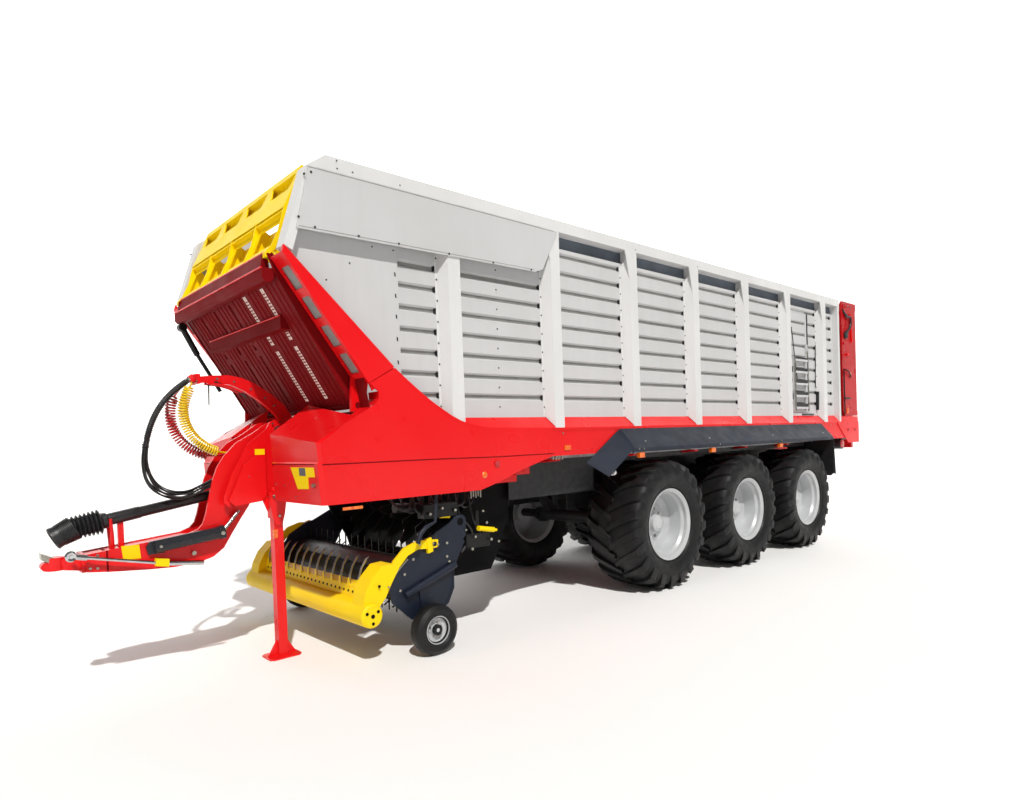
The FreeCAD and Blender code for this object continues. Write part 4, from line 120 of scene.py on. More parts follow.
def plate(outline, low, high):
    """A flat outline of (x, z) corners, thick from y = low to y = high."""
    count = len(outline)
    corners = [Vector((x, y, z)) for y in (low, high) for x, z in outline]
    faces = [(i, (i + 1) % count, count + (i + 1) % count, count + i) for i in range(count)]
    return corners, faces + [tuple(reversed(range(count))), tuple(range(count, 2 * count))]


def turned(profile, centre, steps=48, closed=True, axis=(0, 1, 0)):
    """A profile of (radius, distance along the axle) turned about an axle through centre."""
    centre, axis = Vector(centre), Vector(axis).normalized()
    side = axis.orthogonal().normalized()
    other = side.cross(axis)
    corners, faces = [], []
    count = len(profile)
    for step in range(steps):
        angle = 2 * math.pi * step / steps
        out = math.cos(angle) * side + math.sin(angle) * other
        corners += [centre + radius * out + along * axis for radius, along in profile]
    for step in range(steps):
        after = (step + 1) % steps
        for index in range(count if closed else count - 1):
            nearby = (index + 1) % count
            faces.append((step * count + index, step * count + nearby,
                          after * count + nearby, after * count + index))
    return corners, faces


def bolt(at, out=(0, 1, 0), radius=0.009, height=0.007, sides=6):
    """A bolt head, rivet or pin end that stands on a face and points out of it."""
    at, out = Vector(at), Vector(out).normalized()
    return tube([at - 0.002 * out, at + height * out], radius, sides)


def prism(corners, thick):
    """A flat face with any corners, given a thickness along its own normal."""
    corners = [Vector(corner) for corner in corners]
    normal = (corners[1] - corners[0]).cross(corners[-1] - corners[0]).normalized()
    count = len(corners)
    faces = [(i, i + count, (i + 1) % count + count, (i + 1) % count) for i in range(count)]
    return (corners + [corner + thick * normal for corner in corners],
            faces + [tuple(range(count)), tuple(reversed(range(count, 2 * count)))])


def mirrored(shapes):
    """The same shapes on the wagon's other side."""
    return [([Vector((p.x, -p.y, p.z)) for p in corners], [tuple(reversed(face)) for face in faces])
            for corners, faces in shapes]


SOFT_ANGLE = 40

def round_edges(made, width):
    """A small bevel on the edges where faces meet at more than SOFT_ANGLE degrees."""
    rounding = made.modifiers.new("edges", "BEVEL")
    rounding.width = width
    rounding.segments = 2
    rounding.limit_method = "ANGLE"
    rounding.angle_limit = math.radians(SOFT_ANGLE)

def piece(name, shapes, material, body, smooth=False, bevel=0, hides=()):
    """One object from many shapes. It rides on a body, and may stand for nodes of the frame."""
    corners, faces = [], []
    for some, rest in shapes:
        first = len(corners)
        corners += some
        faces += [tuple(first + index for index in face) for face in rest]
    mesh = bpy.data.meshes.new(name)
    mesh.from_pydata([tuple(corner) for corner in corners], [], faces)
    mesh.validate()
    made = bpy.data.objects.new(name, mesh)
    bpy.context.scene.collection.objects.link(made)
    mesh.materials.append(material)
    if smooth:
        mesh.shade_smooth()
        mesh.set_sharp_from_angle(angle=math.radians(smooth if smooth is not True else SOFT_ANGLE))
    if bevel:
        round_edges(made, bevel)
    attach(made, body)
    if hides:
        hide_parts(*hides)
    return made


def on_both_sides(shapes):
    return list(shapes) + mirrored(shapes)


# %% [markdown]
# ## Colours and nodes
# Paint charts give colours as sRGB hex values, and Blender's shaders work in linear light, so one function
# turns the one into the other. One more adds a node, sets it and links it, which keeps each material short.

# %% Material helpers
def colour(hex_value):
    """An sRGB hex colour as linear red, green, blue and alpha."""
    parts = [int(hex_value[i:i + 2], 16) / 255 for i in (1, 3, 5)]
    return tuple(p / 12.92 if p <= 0.04045 else ((p + 0.055) / 1.055) ** 2.4 for p in parts) + (1,)


def add(tree, kind, inputs=None, **settings):
    """Add a node with its settings. An input that is a socket is linked, and any other is its value."""
    made = tree.nodes.new("ShaderNode" + kind)
    for name, setting in settings.items():
        setattr(made, name, setting)
    for name, given in (inputs or {}).items():
        if isinstance(given, bpy.types.NodeSocket):
            tree.links.new(given, made.inputs[name])
        else:
            made.inputs[name].default_value = given
    return made


def finish(name, **sockets):
    """A material whose shader has these values on its own sockets, and its tree and object coordinates."""
    material = bpy.data.materials.new(name)
    material.use_nodes = True
    tree = material.node_tree
    shader = tree.nodes["Principled BSDF"]
    for socket, given in sockets.items():
        shader.inputs[socket.replace("_", " ")].default_value = given
    return material, tree, shader, add(tree, "TexCoord").outputs["Object"]


def grain(tree, place, size_mm, detail=2, stretch=(1, 1, 1)):
    """Noise whose spots are size_mm wide, drawn out along an axis where stretch is below one."""
    spread = add(tree, "Mapping", {"Vector": place, "Scale": stretch}).outputs["Vector"]
    return add(tree, "TexNoise", {"Vector": spread, "Scale": 1000 / size_mm, "Detail": detail}).outputs["Fac"]


def tint(tree, shader, factor, low, high, a, b, socket="Base Color"):
    """Blend colour a into b as the factor rises from low to high."""
    ramp = add(tree, "MapRange", {"Value": factor, "From Min": low, "From Max": high})
    mix = add(tree, "Mix", {"Factor": ramp.outputs["Result"]}, data_type="RGBA")
    mix.inputs[6].default_value = a if not isinstance(a, bpy.types.NodeSocket) else (1, 1, 1, 1)
    if isinstance(a, bpy.types.NodeSocket):
        tree.links.new(a, mix.inputs[6])
    mix.inputs[7].default_value = b
    if shader is not None:
        tree.links.new(mix.outputs[2], shader.inputs[socket])
    return mix.outputs[2]


def uneven(tree, shader, factor, low, high):
    """Roughness that wanders from low to high with the factor."""
    span = add(tree, "MapRange", {"Value": factor, "From Min": 0.3, "From Max": 0.7,
                                  "To Min": low, "To Max": high})
    tree.links.new(span.outputs["Result"], shader.inputs["Roughness"])


def relief(tree, shader, height, depth_mm, strength=1.0):
    """Bumps up to depth_mm high."""
    bump = add(tree, "Bump", {"Height": height, "Distance": depth_mm / 1000, "Strength": strength})
    tree.links.new(bump.outputs["Normal"], shader.inputs["Normal"])


# %% [markdown]
# ## Enamel on steel
# The frame, drawbar and hood are steel, primed and sprayed with a two-part enamel that is baked glossy.
# Sprayed paint never dries quite level, and the eye reads its faint orange peel in the highlights. Fields
# leave a thin veil of dust on the lower and level parts, so the colour is a shade duller there.

# %% Enamels
ORANGE_PEEL_MM = 5.0
DUST = colour("#8C7B66")


def enamel(name, hex_value, faded, roughness=0.3, dust=0.06, shine=0.25, coat=0.1):
    """Gloss enamel with a sun-faded tone, a veil of dust low down and orange peel in its gloss."""
    material, tree, shader, place = finish(name, IOR=1.5, Specular_IOR_Level=shine, Coat_Weight=coat,
                                           Coat_Roughness=0.08)
    paint = tint(tree, None, grain(tree, place, 700, 4), 0.35, 0.7, colour(hex_value), colour(faded))
    height = add(tree, "SeparateXYZ", {"Vector": place}).outputs["Z"]
    low_down = add(tree, "MapRange", {"Value": height, "From Min": 2.2, "From Max": 0.3, "To Max": dust})
    spots = add(tree, "Math", {0: low_down.outputs["Result"], 1: grain(tree, place, 160, 2)},
                operation="MULTIPLY")
    tint(tree, shader, spots.outputs["Value"], 0, 1, paint, DUST)
    uneven(tree, shader, grain(tree, place, 240, 1), roughness - 0.04, roughness + 0.08)
    relief(tree, shader, grain(tree, place, ORANGE_PEEL_MM, 1), 0.1, 0.2)
    return material


red_enamel = enamel("red_enamel", "#E20D14", "#E6161B")
yellow_enamel = enamel("yellow_enamel", "#FBDA06", "#F6D20A", roughness=0.42, shine=0.15, coat=0.0)
black_enamel = enamel("black_enamel", "#0E0F10", "#151617", roughness=0.4, dust=0.02)
grey_enamel = enamel("grey_enamel", "#22262C", "#2A2F36", roughness=0.25)
housing_enamel = enamel("housing_enamel", "#060607", "#08080A", roughness=0.6, dust=0.0, shine=0.12, coat=0.0)
gate_enamel = enamel("gate_enamel", "#B30A10", "#BE0E14")
# A darker, flatter copy of the red enamel for the front wall and for seams and gaps: it paints the shade they lie
# in.
painted_shade_enamel = enamel("painted_shade_enamel", "#740B10", "#7C0D12", roughness=0.5, dust=0.0, shine=0.05, coat=0.0)
print("enamels", [m.name for m in (red_enamel, yellow_enamel, black_enamel, grey_enamel)])

# %% [markdown]
# ## Coated sheet
# The walls are steel sheet that was coated on the coil and then pressed. The coating is a thin satin
# polyester, much flatter than spray paint. Rain draws faint upright streaks on it, so the noise is drawn out
# along Z, and the sheet itself is never perfectly flat, which shows as slow waves in its sheen.

# %% Wall coating
def coating(name, clean, streaked, faded):
    """Coil-coated sheet with faint upright rain streaks, slow fading and a sheen that is never quite flat."""
    material, tree, shader, place = finish(name, IOR=1.47, Specular_IOR_Level=0.35)
    streaks = tint(tree, None, grain(tree, place, 90, 3, stretch=(1, 1, 0.06)), 0.45, 0.8, colour(clean),
                   colour(streaked))
    tint(tree, shader, grain(tree, place, 900, 3), 0.4, 0.9, streaks, colour(faded))
    uneven(tree, shader, grain(tree, place, 300, 1), 0.38, 0.48)
    relief(tree, shader, grain(tree, place, 380, 1), 1.2, 0.25)
    return material


coated_sheet = coating("coated_sheet", "#DADADA", "#D6D6D6", "#D0D0CF")
panel_coating = coating("panel_coating", "#C8C8C9", "#C4C4C5", "#BFBFBF")

# %% Painted shade in the grooves and under the rail
# A grey that paints the shade in the bottoms of the pressed grooves and behind the band's windows; it also draws the
# thin grey border lines of the signs.
grey_for_shade_and_lines, tree, shader, place = finish("grey_for_shade_and_lines", IOR=1.45)
tint(tree, shader, grain(tree, place, 120, 4), 0.35, 0.75, colour("#8F8F8D"), colour("#7F7E7A"))
uneven(tree, shader, grain(tree, place, 90, 3), 0.55, 0.7)
relief(tree, shader, grain(tree, place, 8, 3), 0.3, 0.4)

# Pale coated sheet for the strips where daylight shows through the shaded front wall. It is laid over the
# openings, and its glow stands for the light that comes through from the open hold.
daylit_sheet, tree, shader, place = finish("daylit_sheet", IOR=1.47, Specular_IOR_Level=0.2,
                                           Emission_Strength=0.42)
shader.inputs["Base Color"].default_value = colour("#D8CFC6")
shader.inputs["Emission Color"].default_value = colour("#F3D9CC")
shader.inputs["Roughness"].default_value = 0.6

# A slate grey that paints the deep shade in the recess under the top rail; it also draws the small patch on the
# hood's plate.
slate_grey_and_shade, tree, shader, place = finish("slate_grey_and_shade", IOR=1.47)
tint(tree, shader, grain(tree, place, 300, 3), 0.35, 0.75, colour("#5A636E"), colour("#4A525C"))
uneven(tree, shader, grain(tree, place, 200, 3), 0.4, 0.55)
relief(tree, shader, grain(tree, place, 300, 1), 0.8, 0.2)

# %% [markdown]
# ## Moulded plastic and rubber
# The mudguards are moulded polyethylene, slate grey with a fine pebbled skin. Tyres are carbon-filled rubber:
# black, fairly rough, and greyer where soil dust has worked into it. Hose covers are smoother rubber, and the
# air lines are clear-skinned polyurethane, which shines.

# %% Plastics and rubbers
slate_polyethylene, tree, shader, place = finish("slate_polyethylene", IOR=1.5, Specular_IOR_Level=0.35)
tint(tree, shader, grain(tree, place, 400, 4), 0.35, 0.75, colour("#151C2A"), colour("#1C2535"))
uneven(tree, shader, grain(tree, place, 150, 3), 0.4, 0.55)
relief(tree, shader, grain(tree, place, 4, 2), 0.4, 0.4)

tyre_rubber, tree, shader, place = finish("tyre_rubber", IOR=1.52, Specular_IOR_Level=0.35)
dusty = tint(tree, None, grain(tree, place, 45, 5), 0.4, 0.75, colour("#0B0C0E"), colour("#131417"))
tint(tree, shader, grain(tree, place, 420, 3), 0.5, 0.95, dusty, colour("#1D1B19"))
uneven(tree, shader, grain(tree, place, 80, 4), 0.48, 0.66)
relief(tree, shader, grain(tree, place, 6, 3), 0.5, 0.5)

hose_rubber, tree, shader, place = finish("hose_rubber", IOR=1.52)
tint(tree, shader, grain(tree, place, 50, 3), 0.4, 0.7, colour("#141416"), colour("#222225"))
uneven(tree, shader, grain(tree, place, 60, 3), 0.32, 0.46)
relief(tree, shader, grain(tree, place, 3, 2), 0.15, 0.4)

bellows_rubber, tree, shader, place = finish("bellows_rubber", IOR=1.5)
tint(tree, shader, grain(tree, place, 60, 3), 0.4, 0.7, colour("#17181A"), colour("#28282B"))
uneven(tree, shader, grain(tree, place, 40, 3), 0.38, 0.52)
relief(tree, shader, grain(tree, place, 5, 2), 0.3, 0.4)


def polyurethane(name, hex_value, deeper):
    """Air line: a glossy skin whose colour runs a little deeper in patches."""
    material, tree, shader, place = finish(name, IOR=1.5, Coat_Weight=0.5, Coat_Roughness=0.1,
                                           Subsurface_Weight=0.1, Subsurface_Scale=0.004)
    tint(tree, shader, grain(tree, place, 30, 2), 0.35, 0.7, colour(hex_value), colour(deeper))
    uneven(tree, shader, grain(tree, place, 25, 2), 0.22, 0.34)
    relief(tree, shader, grain(tree, place, 4, 1), 0.1, 0.3)
    return material


yellow_polyurethane = polyurethane("yellow_polyurethane", "#F3D21C", "#E2B90A")
red_polyurethane = polyurethane("red_polyurethane", "#C4161C", "#9C0F16")
amber_acrylic = polyurethane("amber_acrylic", "#F07818", "#E05A0C")
red_acrylic = polyurethane("red_acrylic", "#C8101A", "#9A0A12")

# %% [markdown]
# ## Bare and lacquered metal
# Piston rods are hard chrome, ground nearly to a mirror. Tines and guard wires are spring steel that the crop
# polishes in streaks. Rims wear a silver lacquer, which is aluminium flake in clear resin, so it is partly
# metallic and softly glossy. The floor is galvanised, with broad dull spangles.

# %% Metals
def bare_metal(name, hex_value, darker, low, high, grain_mm=40, stretch=(1, 1, 1), bump_mm=0.05, **sockets):
    """Metal whose tone and polish wander over patches of grain_mm."""
    material, tree, shader, place = finish(name, **{"Metallic": 1.0, **sockets})
    pattern = grain(tree, place, grain_mm, 4, stretch)
    tint(tree, shader, pattern, 0.35, 0.7, colour(hex_value), colour(darker))
    uneven(tree, shader, pattern, low, high)
    relief(tree, shader, grain(tree, place, grain_mm / 12, 2, stretch), bump_mm, 0.4)
    return material


chrome = bare_metal("hard_chrome", "#C9CACB", "#B9BABC", 0.08, 0.16, 60, bump_mm=0.01)
spring_steel = bare_metal("spring_steel", "#A9ABAD", "#77797C", 0.28, 0.5, 30)
galvanised = bare_metal("galvanised_steel", "#A6A8A8", "#8C8F90", 0.38, 0.55, 35)
zinc_plated = bare_metal("zinc_plated_steel", "#B9B6AA", "#9A968A", 0.25, 0.4, 12)
cast_iron = bare_metal("black_cast_iron", "#2A2B2D", "#1C1C1E", 0.45, 0.65, 20, bump_mm=0.4, Metallic=0.0)
silver_lacquer = bare_metal("silver_lacquer", "#C2C4C6", "#B6B8BA", 0.36, 0.46, 220, bump_mm=0.03,
                            Metallic=0.15, Coat_Weight=0.4, Coat_Roughness=0.08)
worn_steel = bare_metal("worn_steel", "#6E6C69", "#4A4744", 0.35, 0.6, 50)

# %% Finishes for the frame's nodes
FINISHES = {
    coated_sheet: ("wall_frame_left", "wall_frame_right"),
    panel_coating: ("wall_panels_left", "wall_panels_right", "sign_panels", "access_door"),
    red_enamel: ("side_beams", "main_frame", "neck_cheeks", "jack_sleeve", "hoods", "front_bands", "drawbar",
                 "hitch_cup", "jack_leg", "hose_arm"),
    gate_enamel: ("tailgate",),
    painted_shade_enamel: ("front_wall",),
    yellow_enamel: ("top_flap", "crop_guard"),
    black_enamel: ("wall_rams", "gate_rams", "pickup_reel", "feed_rotor", "knife_bank"),
    housing_enamel: ("rotor_housing",),
    grey_enamel: ("drawbar_cylinder",),
    slate_polyethylene: ("fenders", "pickup_frame"),
    silver_lacquer: tuple(f"rim_{axle}_{side}" for axle in (1, 2, 3) for side in ("left", "right")),
    cast_iron: ("axle_1", "axle_2", "axle_3", "knuckle_1_left", "knuckle_1_right", "knuckle_3_left",
                "knuckle_3_right", "input_gearbox"),
    galvanised: ("load_floor", "scraper_floor"),
    spring_steel: ("steering_rod",),
    red_acrylic: ("lamps",),
    tyre_rubber: ("gauge_wheel_left", "gauge_wheel_right"),
}
for material, names in FINISHES.items():
    for name in names:
        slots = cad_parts[name].material_slots
        if not slots:
            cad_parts[name].data.materials.append(material)
        for slot in slots:
            slot.material = material
print(sum(len(names) for names in FINISHES.values()), "nodes have their finish")

# %% [markdown]
# ## Hoses between the arm and the neck
# The tractor's oil, air and power come over a curved arm. Here the wagon is parked, so its lines hang in a
# bow from the arm's block and go back into the plate in the neck. A hose bends evenly, so its line is one
# smooth NURBS curve through the air. The oil hoses are several thin ones in a loose bundle, with a spiral
# guard where they would chafe, and the two air lines are wound as springs, so that they stretch on a bend
# and spring back.

# %% Routes of the three lines
OIL_ROUTE = [(4.850, 0, 2.360), (4.980, 0.012, 2.270), (5.120, 0.035, 2.100), (5.200, 0.056, 1.900),
             (5.235, 0.070, 1.705), (5.200, 0.078, 1.525), (5.085, 0.080, 1.430), (4.935, 0.079, 1.412),
             (4.800, 0.064, 1.476), (4.670, 0.046, 1.535), (4.550, 0.024, 1.598), (4.440, 0, 1.668)]
YELLOW_ROUTE = [(4.850, 0.074, 2.335), (4.925, 0.056, 2.182), (4.922, 0.046, 2.012), (4.842, 0.046, 1.862),
                (4.703, 0.046, 1.764), (4.534, 0.046, 1.741), (4.421, 0.046, 1.780)]
RED_ROUTE = [(4.850, -0.074, 2.350), (4.956, -0.056, 2.244), (5.002, -0.046, 2.101), (4.984, -0.046, 1.952),
             (4.904, -0.046, 1.825), (4.779, -0.046, 1.743), (4.630, -0.046, 1.722), (4.517, -0.046, 1.752),
             (4.420, -0.046, 1.800)]


def smooth_line(controls):
    """Points along the NURBS line that these control points draw."""
    curve = bpy.data.curves.new("route", "CURVE")
    curve.dimensions = "3D"
    curve.resolution_u = 24
    spline = curve.splines.new("NURBS")
    spline.points.add(len(controls) - 1)
    for control, place in zip(spline.points, controls):
        control.co = (*place, 1)
    spline.order_u = 3
    spline.use_endpoint_u = True
    holder = bpy.data.objects.new("route", curve)
    mesh = bpy.data.meshes.new_from_object(holder)
    line = [corner.co.copy() for corner in mesh.vertices]
    bpy.data.objects.remove(holder)
    bpy.data.meshes.remove(mesh)
    return line


def run_of(line):
    """How far along the line each point lies."""
    run = [0.0]
    for here, after in zip(line, line[1:]):
        run.append(run[-1] + (after - here).length)
    return run


def place_on(line, run, at):
    """The point and the direction at a distance along the line."""
    at = min(max(at, 0), run[-1])
    index = next(i for i in range(1, len(run)) if run[i] >= at)
    share = (at - run[index - 1]) / (run[index] - run[index - 1])
    return line[index - 1].lerp(line[index], share), (line[index] - line[index - 1]).normalized()


def wound(line, start, end, radius, pitch, per_turn, begin=0.0):
    """Points that wind round the line between two distances, at a radius that may depend on the distance."""
    run = run_of(line)
    count = max(2, int(abs(end - start) / pitch * per_turn))
    points, side = [], None
    for index in range(count + 1):
        at = start + (end - start) * index / count
        here, ahead = place_on(line, run, at)
        if side is None:
            side = ahead.cross(Vector((0, 1, 0))).normalized()
        side = (side - ahead * side.dot(ahead)).normalized()
        other = ahead.cross(side)
        angle = begin + 2 * math.pi * (at - start) / pitch
        reach = radius(at) if callable(radius) else radius
        points.append(here + reach * (math.cos(angle) * side + math.sin(angle) * other))
    return points


oil_line = smooth_line(OIL_ROUTE)
print("oil hoses", round(run_of(oil_line)[-1], 3), "m")

# %% The oil hoses and their guard
OIL_LENGTH = run_of(oil_line)[-1]
HOSES = 6
HOSE_RADIUS = 0.0075
GUARD_END = 0.62


def spread(at):
    """The hoses lie close in the guard and fan out below it."""
    fanned = min(max((at - GUARD_END) / 0.35, 0), 1)
    return 0.0125 + 0.0115 * fanned * math.sin(math.pi * min(at / OIL_LENGTH, 1)) ** 0.5


strands = [tube(wound(oil_line, 0, OIL_LENGTH, spread, 2.4, 120, 2 * math.pi * index / HOSES), HOSE_RADIUS, 8)
           for index in range(HOSES)]
oil_hoses = piece("oil_hoses", strands, hose_rubber, "chassis", smooth=True, hides=("hose_bundle",))
hose_guard = piece("hose_guard", [tube(wound(oil_line, 0.03, GUARD_END, 0.0225, 0.016, 14), 0.0035, 6)],
                   hose_rubber, "chassis", smooth=True)
hose_ties = piece("hose_ties", [tube(wound(oil_line, at, at + 0.02, 0.0245, 0.02, 20), 0.005, 6)
                                for at in (0.66, 1.02, 1.36)], hose_rubber, "chassis", smooth=True)
loose_hoses = piece("loose_hoses", [
    tube(wound(oil_line, GUARD_END, OIL_LENGTH, lambda at: 1.5 * spread(at), 3.1, 120, begin), 0.0055, 8)
    for begin in (2.2, 3.9)], hose_rubber, "chassis", smooth=True)

# %% The two coiled air lines
COIL_RADIUS = 0.0355
LINE_RADIUS = 0.0078


def air_line(name, route, material, hidden, lead_in, lead_out, pitch):
    """A spring-wound air line with a straight lead at each end; it prints its length along the axis and the length
    it was wound from.
    """
    line = smooth_line(route)
    length = run_of(line)[-1]

    def radius(at):
        """The coil opens and closes over one turn, so that no part of the line bends sharply."""
        opening = min(max((at - lead_in) / pitch, 0), 1) * min(max((length - lead_out - at) / pitch, 0), 1)
        return COIL_RADIUS * opening * opening * (3 - 2 * opening)

    winding = wound(line, 0, length, radius, pitch, 16)
    made = piece(name, [tube(winding, LINE_RADIUS, 8)], material, "chassis", smooth=True, hides=(hidden,))
    print(name, round(length, 3), "m along its axis, wound from", round(run_of(winding)[-1], 2), "m")


air_line("yellow_air_line", YELLOW_ROUTE, yellow_polyurethane, "air_line_yellow",
         lead_in=0.04, lead_out=0.24, pitch=0.0205)
air_line("red_air_line", RED_ROUTE, red_polyurethane, "air_line_red",
         lead_in=0.16, lead_out=0.3, pitch=0.023)

# %% [markdown]
# ## Floor and light
# A pale floor that curves up far behind the wagon gives a backdrop without an edge. The key light is a large
# sun from the wagon's left front, high up, so the long wall and the flap are bright and the wall that leans
# out over the drawbar lies in shade. The world around fills the shadows evenly and dimly, and looks white to
# the camera, as the far walls of a studio do. The backdrop glows a little, because the sun only grazes it.

# %% Stage
FLOOR_HALF = 70.0
BACKDROP_HEIGHT = 70.0
SWEEP_START, SWEEP_RADIUS = 24.0, 12
GLOW_FOOT, GLOW_HEAD, GLOW = 0.2, 12, 0.62
SUN_FROM = Vector((0.42, 0.78, 1.0))
SUN_POWER, SUN_WIDTH = 3.15, 1.5
SUN_TINT = (1.0, 0.975, 0.94)
WORLD_TINT = (0.98, 0.99, 1.0, 1)
WORLD_LIGHT, WORLD_SEEN = 0.19, 1.0
pale_floor, tree, shader, place = finish("pale_floor", Roughness=0.85)
tint(tree, shader, grain(tree, place, 3000, 3), 0.3, 0.8, colour("#FBFBFA"), colour("#F7F7F6"))
rising = add(tree, "SeparateXYZ", {"Vector": place}).outputs["Z"]
glow = add(tree, "MapRange", {"Value": rising, "From Min": GLOW_FOOT, "From Max": GLOW_HEAD, "To Max": GLOW})
shader.inputs["Emission Color"].default_value = colour("#FFFFFF")
tree.links.new(glow.outputs["Result"], shader.inputs["Emission Strength"])
away = forward.to_2d().normalized()
across = Vector((-away.y, away.x))
sweep = [(-FLOOR_HALF, 0.0), (SWEEP_START, 0.0)]
for angle in range(6, 91, 6):
    sweep.append((SWEEP_START + SWEEP_RADIUS * math.sin(math.radians(angle)),
                  SWEEP_RADIUS * (1 - math.cos(math.radians(angle)))))
sweep.append((SWEEP_START + SWEEP_RADIUS, BACKDROP_HEIGHT))
corners, faces = [], []
for along, up in sweep:
    for side in (-FLOOR_HALF, FLOOR_HALF):
        flat = away * along + across * side
        corners.append((flat.x, flat.y, up))
for index in range(len(sweep) - 1):
    faces.append((2 * index, 2 * index + 2, 2 * index + 3, 2 * index + 1))
floor_mesh = bpy.data.meshes.new("floor")
floor_mesh.from_pydata(corners, [], faces)
floor_mesh.materials.append(pale_floor)
floor_mesh.shade_smooth()
floor = bpy.data.objects.new("floor", floor_mesh)
bpy.context.scene.collection.objects.link(floor)

sun = bpy.data.objects.new("sun", bpy.data.lights.new("sun", "SUN"))
sun.data.energy = SUN_POWER
sun.data.angle = math.radians(SUN_WIDTH)
sun.data.color = SUN_TINT
sun.rotation_mode = "QUATERNION"
sun.rotation_quaternion = SUN_FROM.to_track_quat("Z", "Y")
bpy.context.scene.collection.objects.link(sun)
world = bpy.data.worlds.new("studio")
world.use_nodes = True
surroundings = world.node_tree.nodes["Background"]
surroundings.inputs["Color"].default_value = WORLD_TINT
seen = add(world.node_tree, "LightPath").outputs["Is Camera Ray"]
brightness = add(world.node_tree, "MapRange", {"Value": seen, "To Min": WORLD_LIGHT, "To Max": WORLD_SEEN})
world.node_tree.links.new(brightness.outputs["Result"], surroundings.inputs["Strength"])
bpy.context.scene.world = world
bpy.context.scene.view_settings.view_transform = "Standard"
print("sun stands", round(math.degrees(math.asin(SUN_FROM.normalized().z))), "degrees high")

# %% [markdown]
# ## Tyres
# A flotation tyre is a round carcass with rows of heavy slanting lugs, left and right, set half a pitch
# apart. The carcass is one profile turned about the axle, with a ridge at the bead and a round shoulder. A
# lug is swept from near the middle of the tread out over the shoulder: it gets wider and leans back as it
# goes. All six tyres share one mesh.

# %% Tyre
TYRE_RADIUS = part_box("tyre_1_left")[1].z / 2
LUGS = 21
LUG_STEPS = 7
LUG_BEVEL = 0.005
CARCASS = [(0.384, 0.278), (0.408, 0.284), (0.424, 0.309), (0.432, 0.322), (0.444, 0.326), (0.450, 0.322),
           (0.480, 0.340), (0.530, 0.352), (0.585, 0.354), (0.630, 0.345), (0.662, 0.325), (0.684, 0.290),
           (0.696, 0.235), (0.704, 0.140), (0.707, 0.0)]


def tyre_shapes():
    profile = CARCASS + [(radius, -y) for radius, y in reversed(CARCASS[:-1])]
    shapes = [turned(profile, (0, 0, 0), steps=120)]
    for side in (1, -1):
        for index in range(LUGS):
            start = 2 * math.pi * (index + (0.5 if side < 0 else 0)) / LUGS
            corners, faces = [], []
            for step in range(LUG_STEPS):
                share = step / (LUG_STEPS - 1)
                y = side * (-0.018 + 0.376 * min(share * 1.12, 1))
                out = max(0, share - 0.72) / 0.28
                angle = start + 0.30 * share ** 0.85
                crest = TYRE_RADIUS - 0.002 - 0.012 * share ** 2 - 0.085 * out ** 1.6
                half = 0.024 + 0.026 * share
                foot = half + 0.016
                root = crest - 0.07
                for reach, wide in ((root, -foot), (crest, -half), (crest, half), (root, foot)):
                    turn = angle + wide / TYRE_RADIUS
                    corners.append(Vector((reach * math.cos(turn), y, reach * math.sin(turn))))
            for step in range(LUG_STEPS - 1):
                for edge in range(4):
                    a, b = 4 * step + edge, 4 * step + (edge + 1) % 4
                    quad = (a, b, b + 4, a + 4)
                    faces.append(quad if side < 0 else tuple(reversed(quad)))
            ends = [(3, 2, 1, 0), tuple(range(4 * LUG_STEPS - 4, 4 * LUG_STEPS))]
            faces += ends if side < 0 else [tuple(reversed(end)) for end in ends]
            shapes.append((corners, faces))
    return shapes


shared = None
for axle in (1, 2, 3):
    for word, side in (("left", 1), ("right", -1)):
        name = f"tyre_{axle}_{word}"
        low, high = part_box(name)
        if shared is None:
            made = piece("tread_" + name, tyre_shapes(), tyre_rubber, f"wheel_{axle}_{word}", smooth=35,
                         bevel=LUG_BEVEL, hides=(name,))
            shared = made
        else:
            made = bpy.data.objects.new("tread_" + name, shared.data)
            bpy.context.scene.collection.objects.link(made)
            round_edges(made, LUG_BEVEL)
            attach(made, f"wheel_{axle}_{word}")
            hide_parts(name)
        made.location = (low + high) / 2
        made.rotation_euler = (0, 0, 0 if side > 0 else math.pi)
print("tyre radius", round(TYRE_RADIUS, 4))

# %% [markdown]
# ## Gauge wheels
# The frame's gauge wheels are tyre and rim in one turned solid, which has one finish. The real ones have a
# silver dished rim with a hub cap and five bolts, so a thin dish and cap go over the solid's middle.

# %% Gauge wheel rims
for word, side in (("left", 1), ("right", -1)):
    low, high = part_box(f"gauge_wheel_{word}")
    middle = (low + high) / 2
    half = (high.y - low.y) / 2
    dish = [(0.116, half * 0.55), (0.118, half * 0.78), (0.112, half * 0.80), (0.106, half * 0.60),
            (0.094, 0.022), (0.050, 0.012), (0.046, 0.028), (0.030, 0.050), (0.012, 0.056), (0.0005, 0.056),
            (0.0005, 0.0), (0.092, 0.006)]
    shapes = [turned([(radius, side * y) for radius, y in dish], middle, steps=48)]
    for index in range(5):
        angle = 2 * math.pi * index / 5
        at = middle + Vector((0.066 * math.cos(angle), side * 0.012, 0.066 * math.sin(angle)))
        shapes.append(tube([at, at + Vector((0, side * 0.014, 0))], 0.009, 6))
    made = piece(f"gauge_rim_{word}", shapes, silver_lacquer, f"gauge_{word}", smooth=30)

# %% [markdown]
# ## Drive shaft guard
# The shaft that brings the tractor's power turns inside a plastic tube. A soft bellows and a stiff ribbed
# cone cover its joint, and the cone hangs down a little when the shaft is off the tractor. All are round, so
# each is one profile turned about its own axis, with the ribs worked out in a loop.

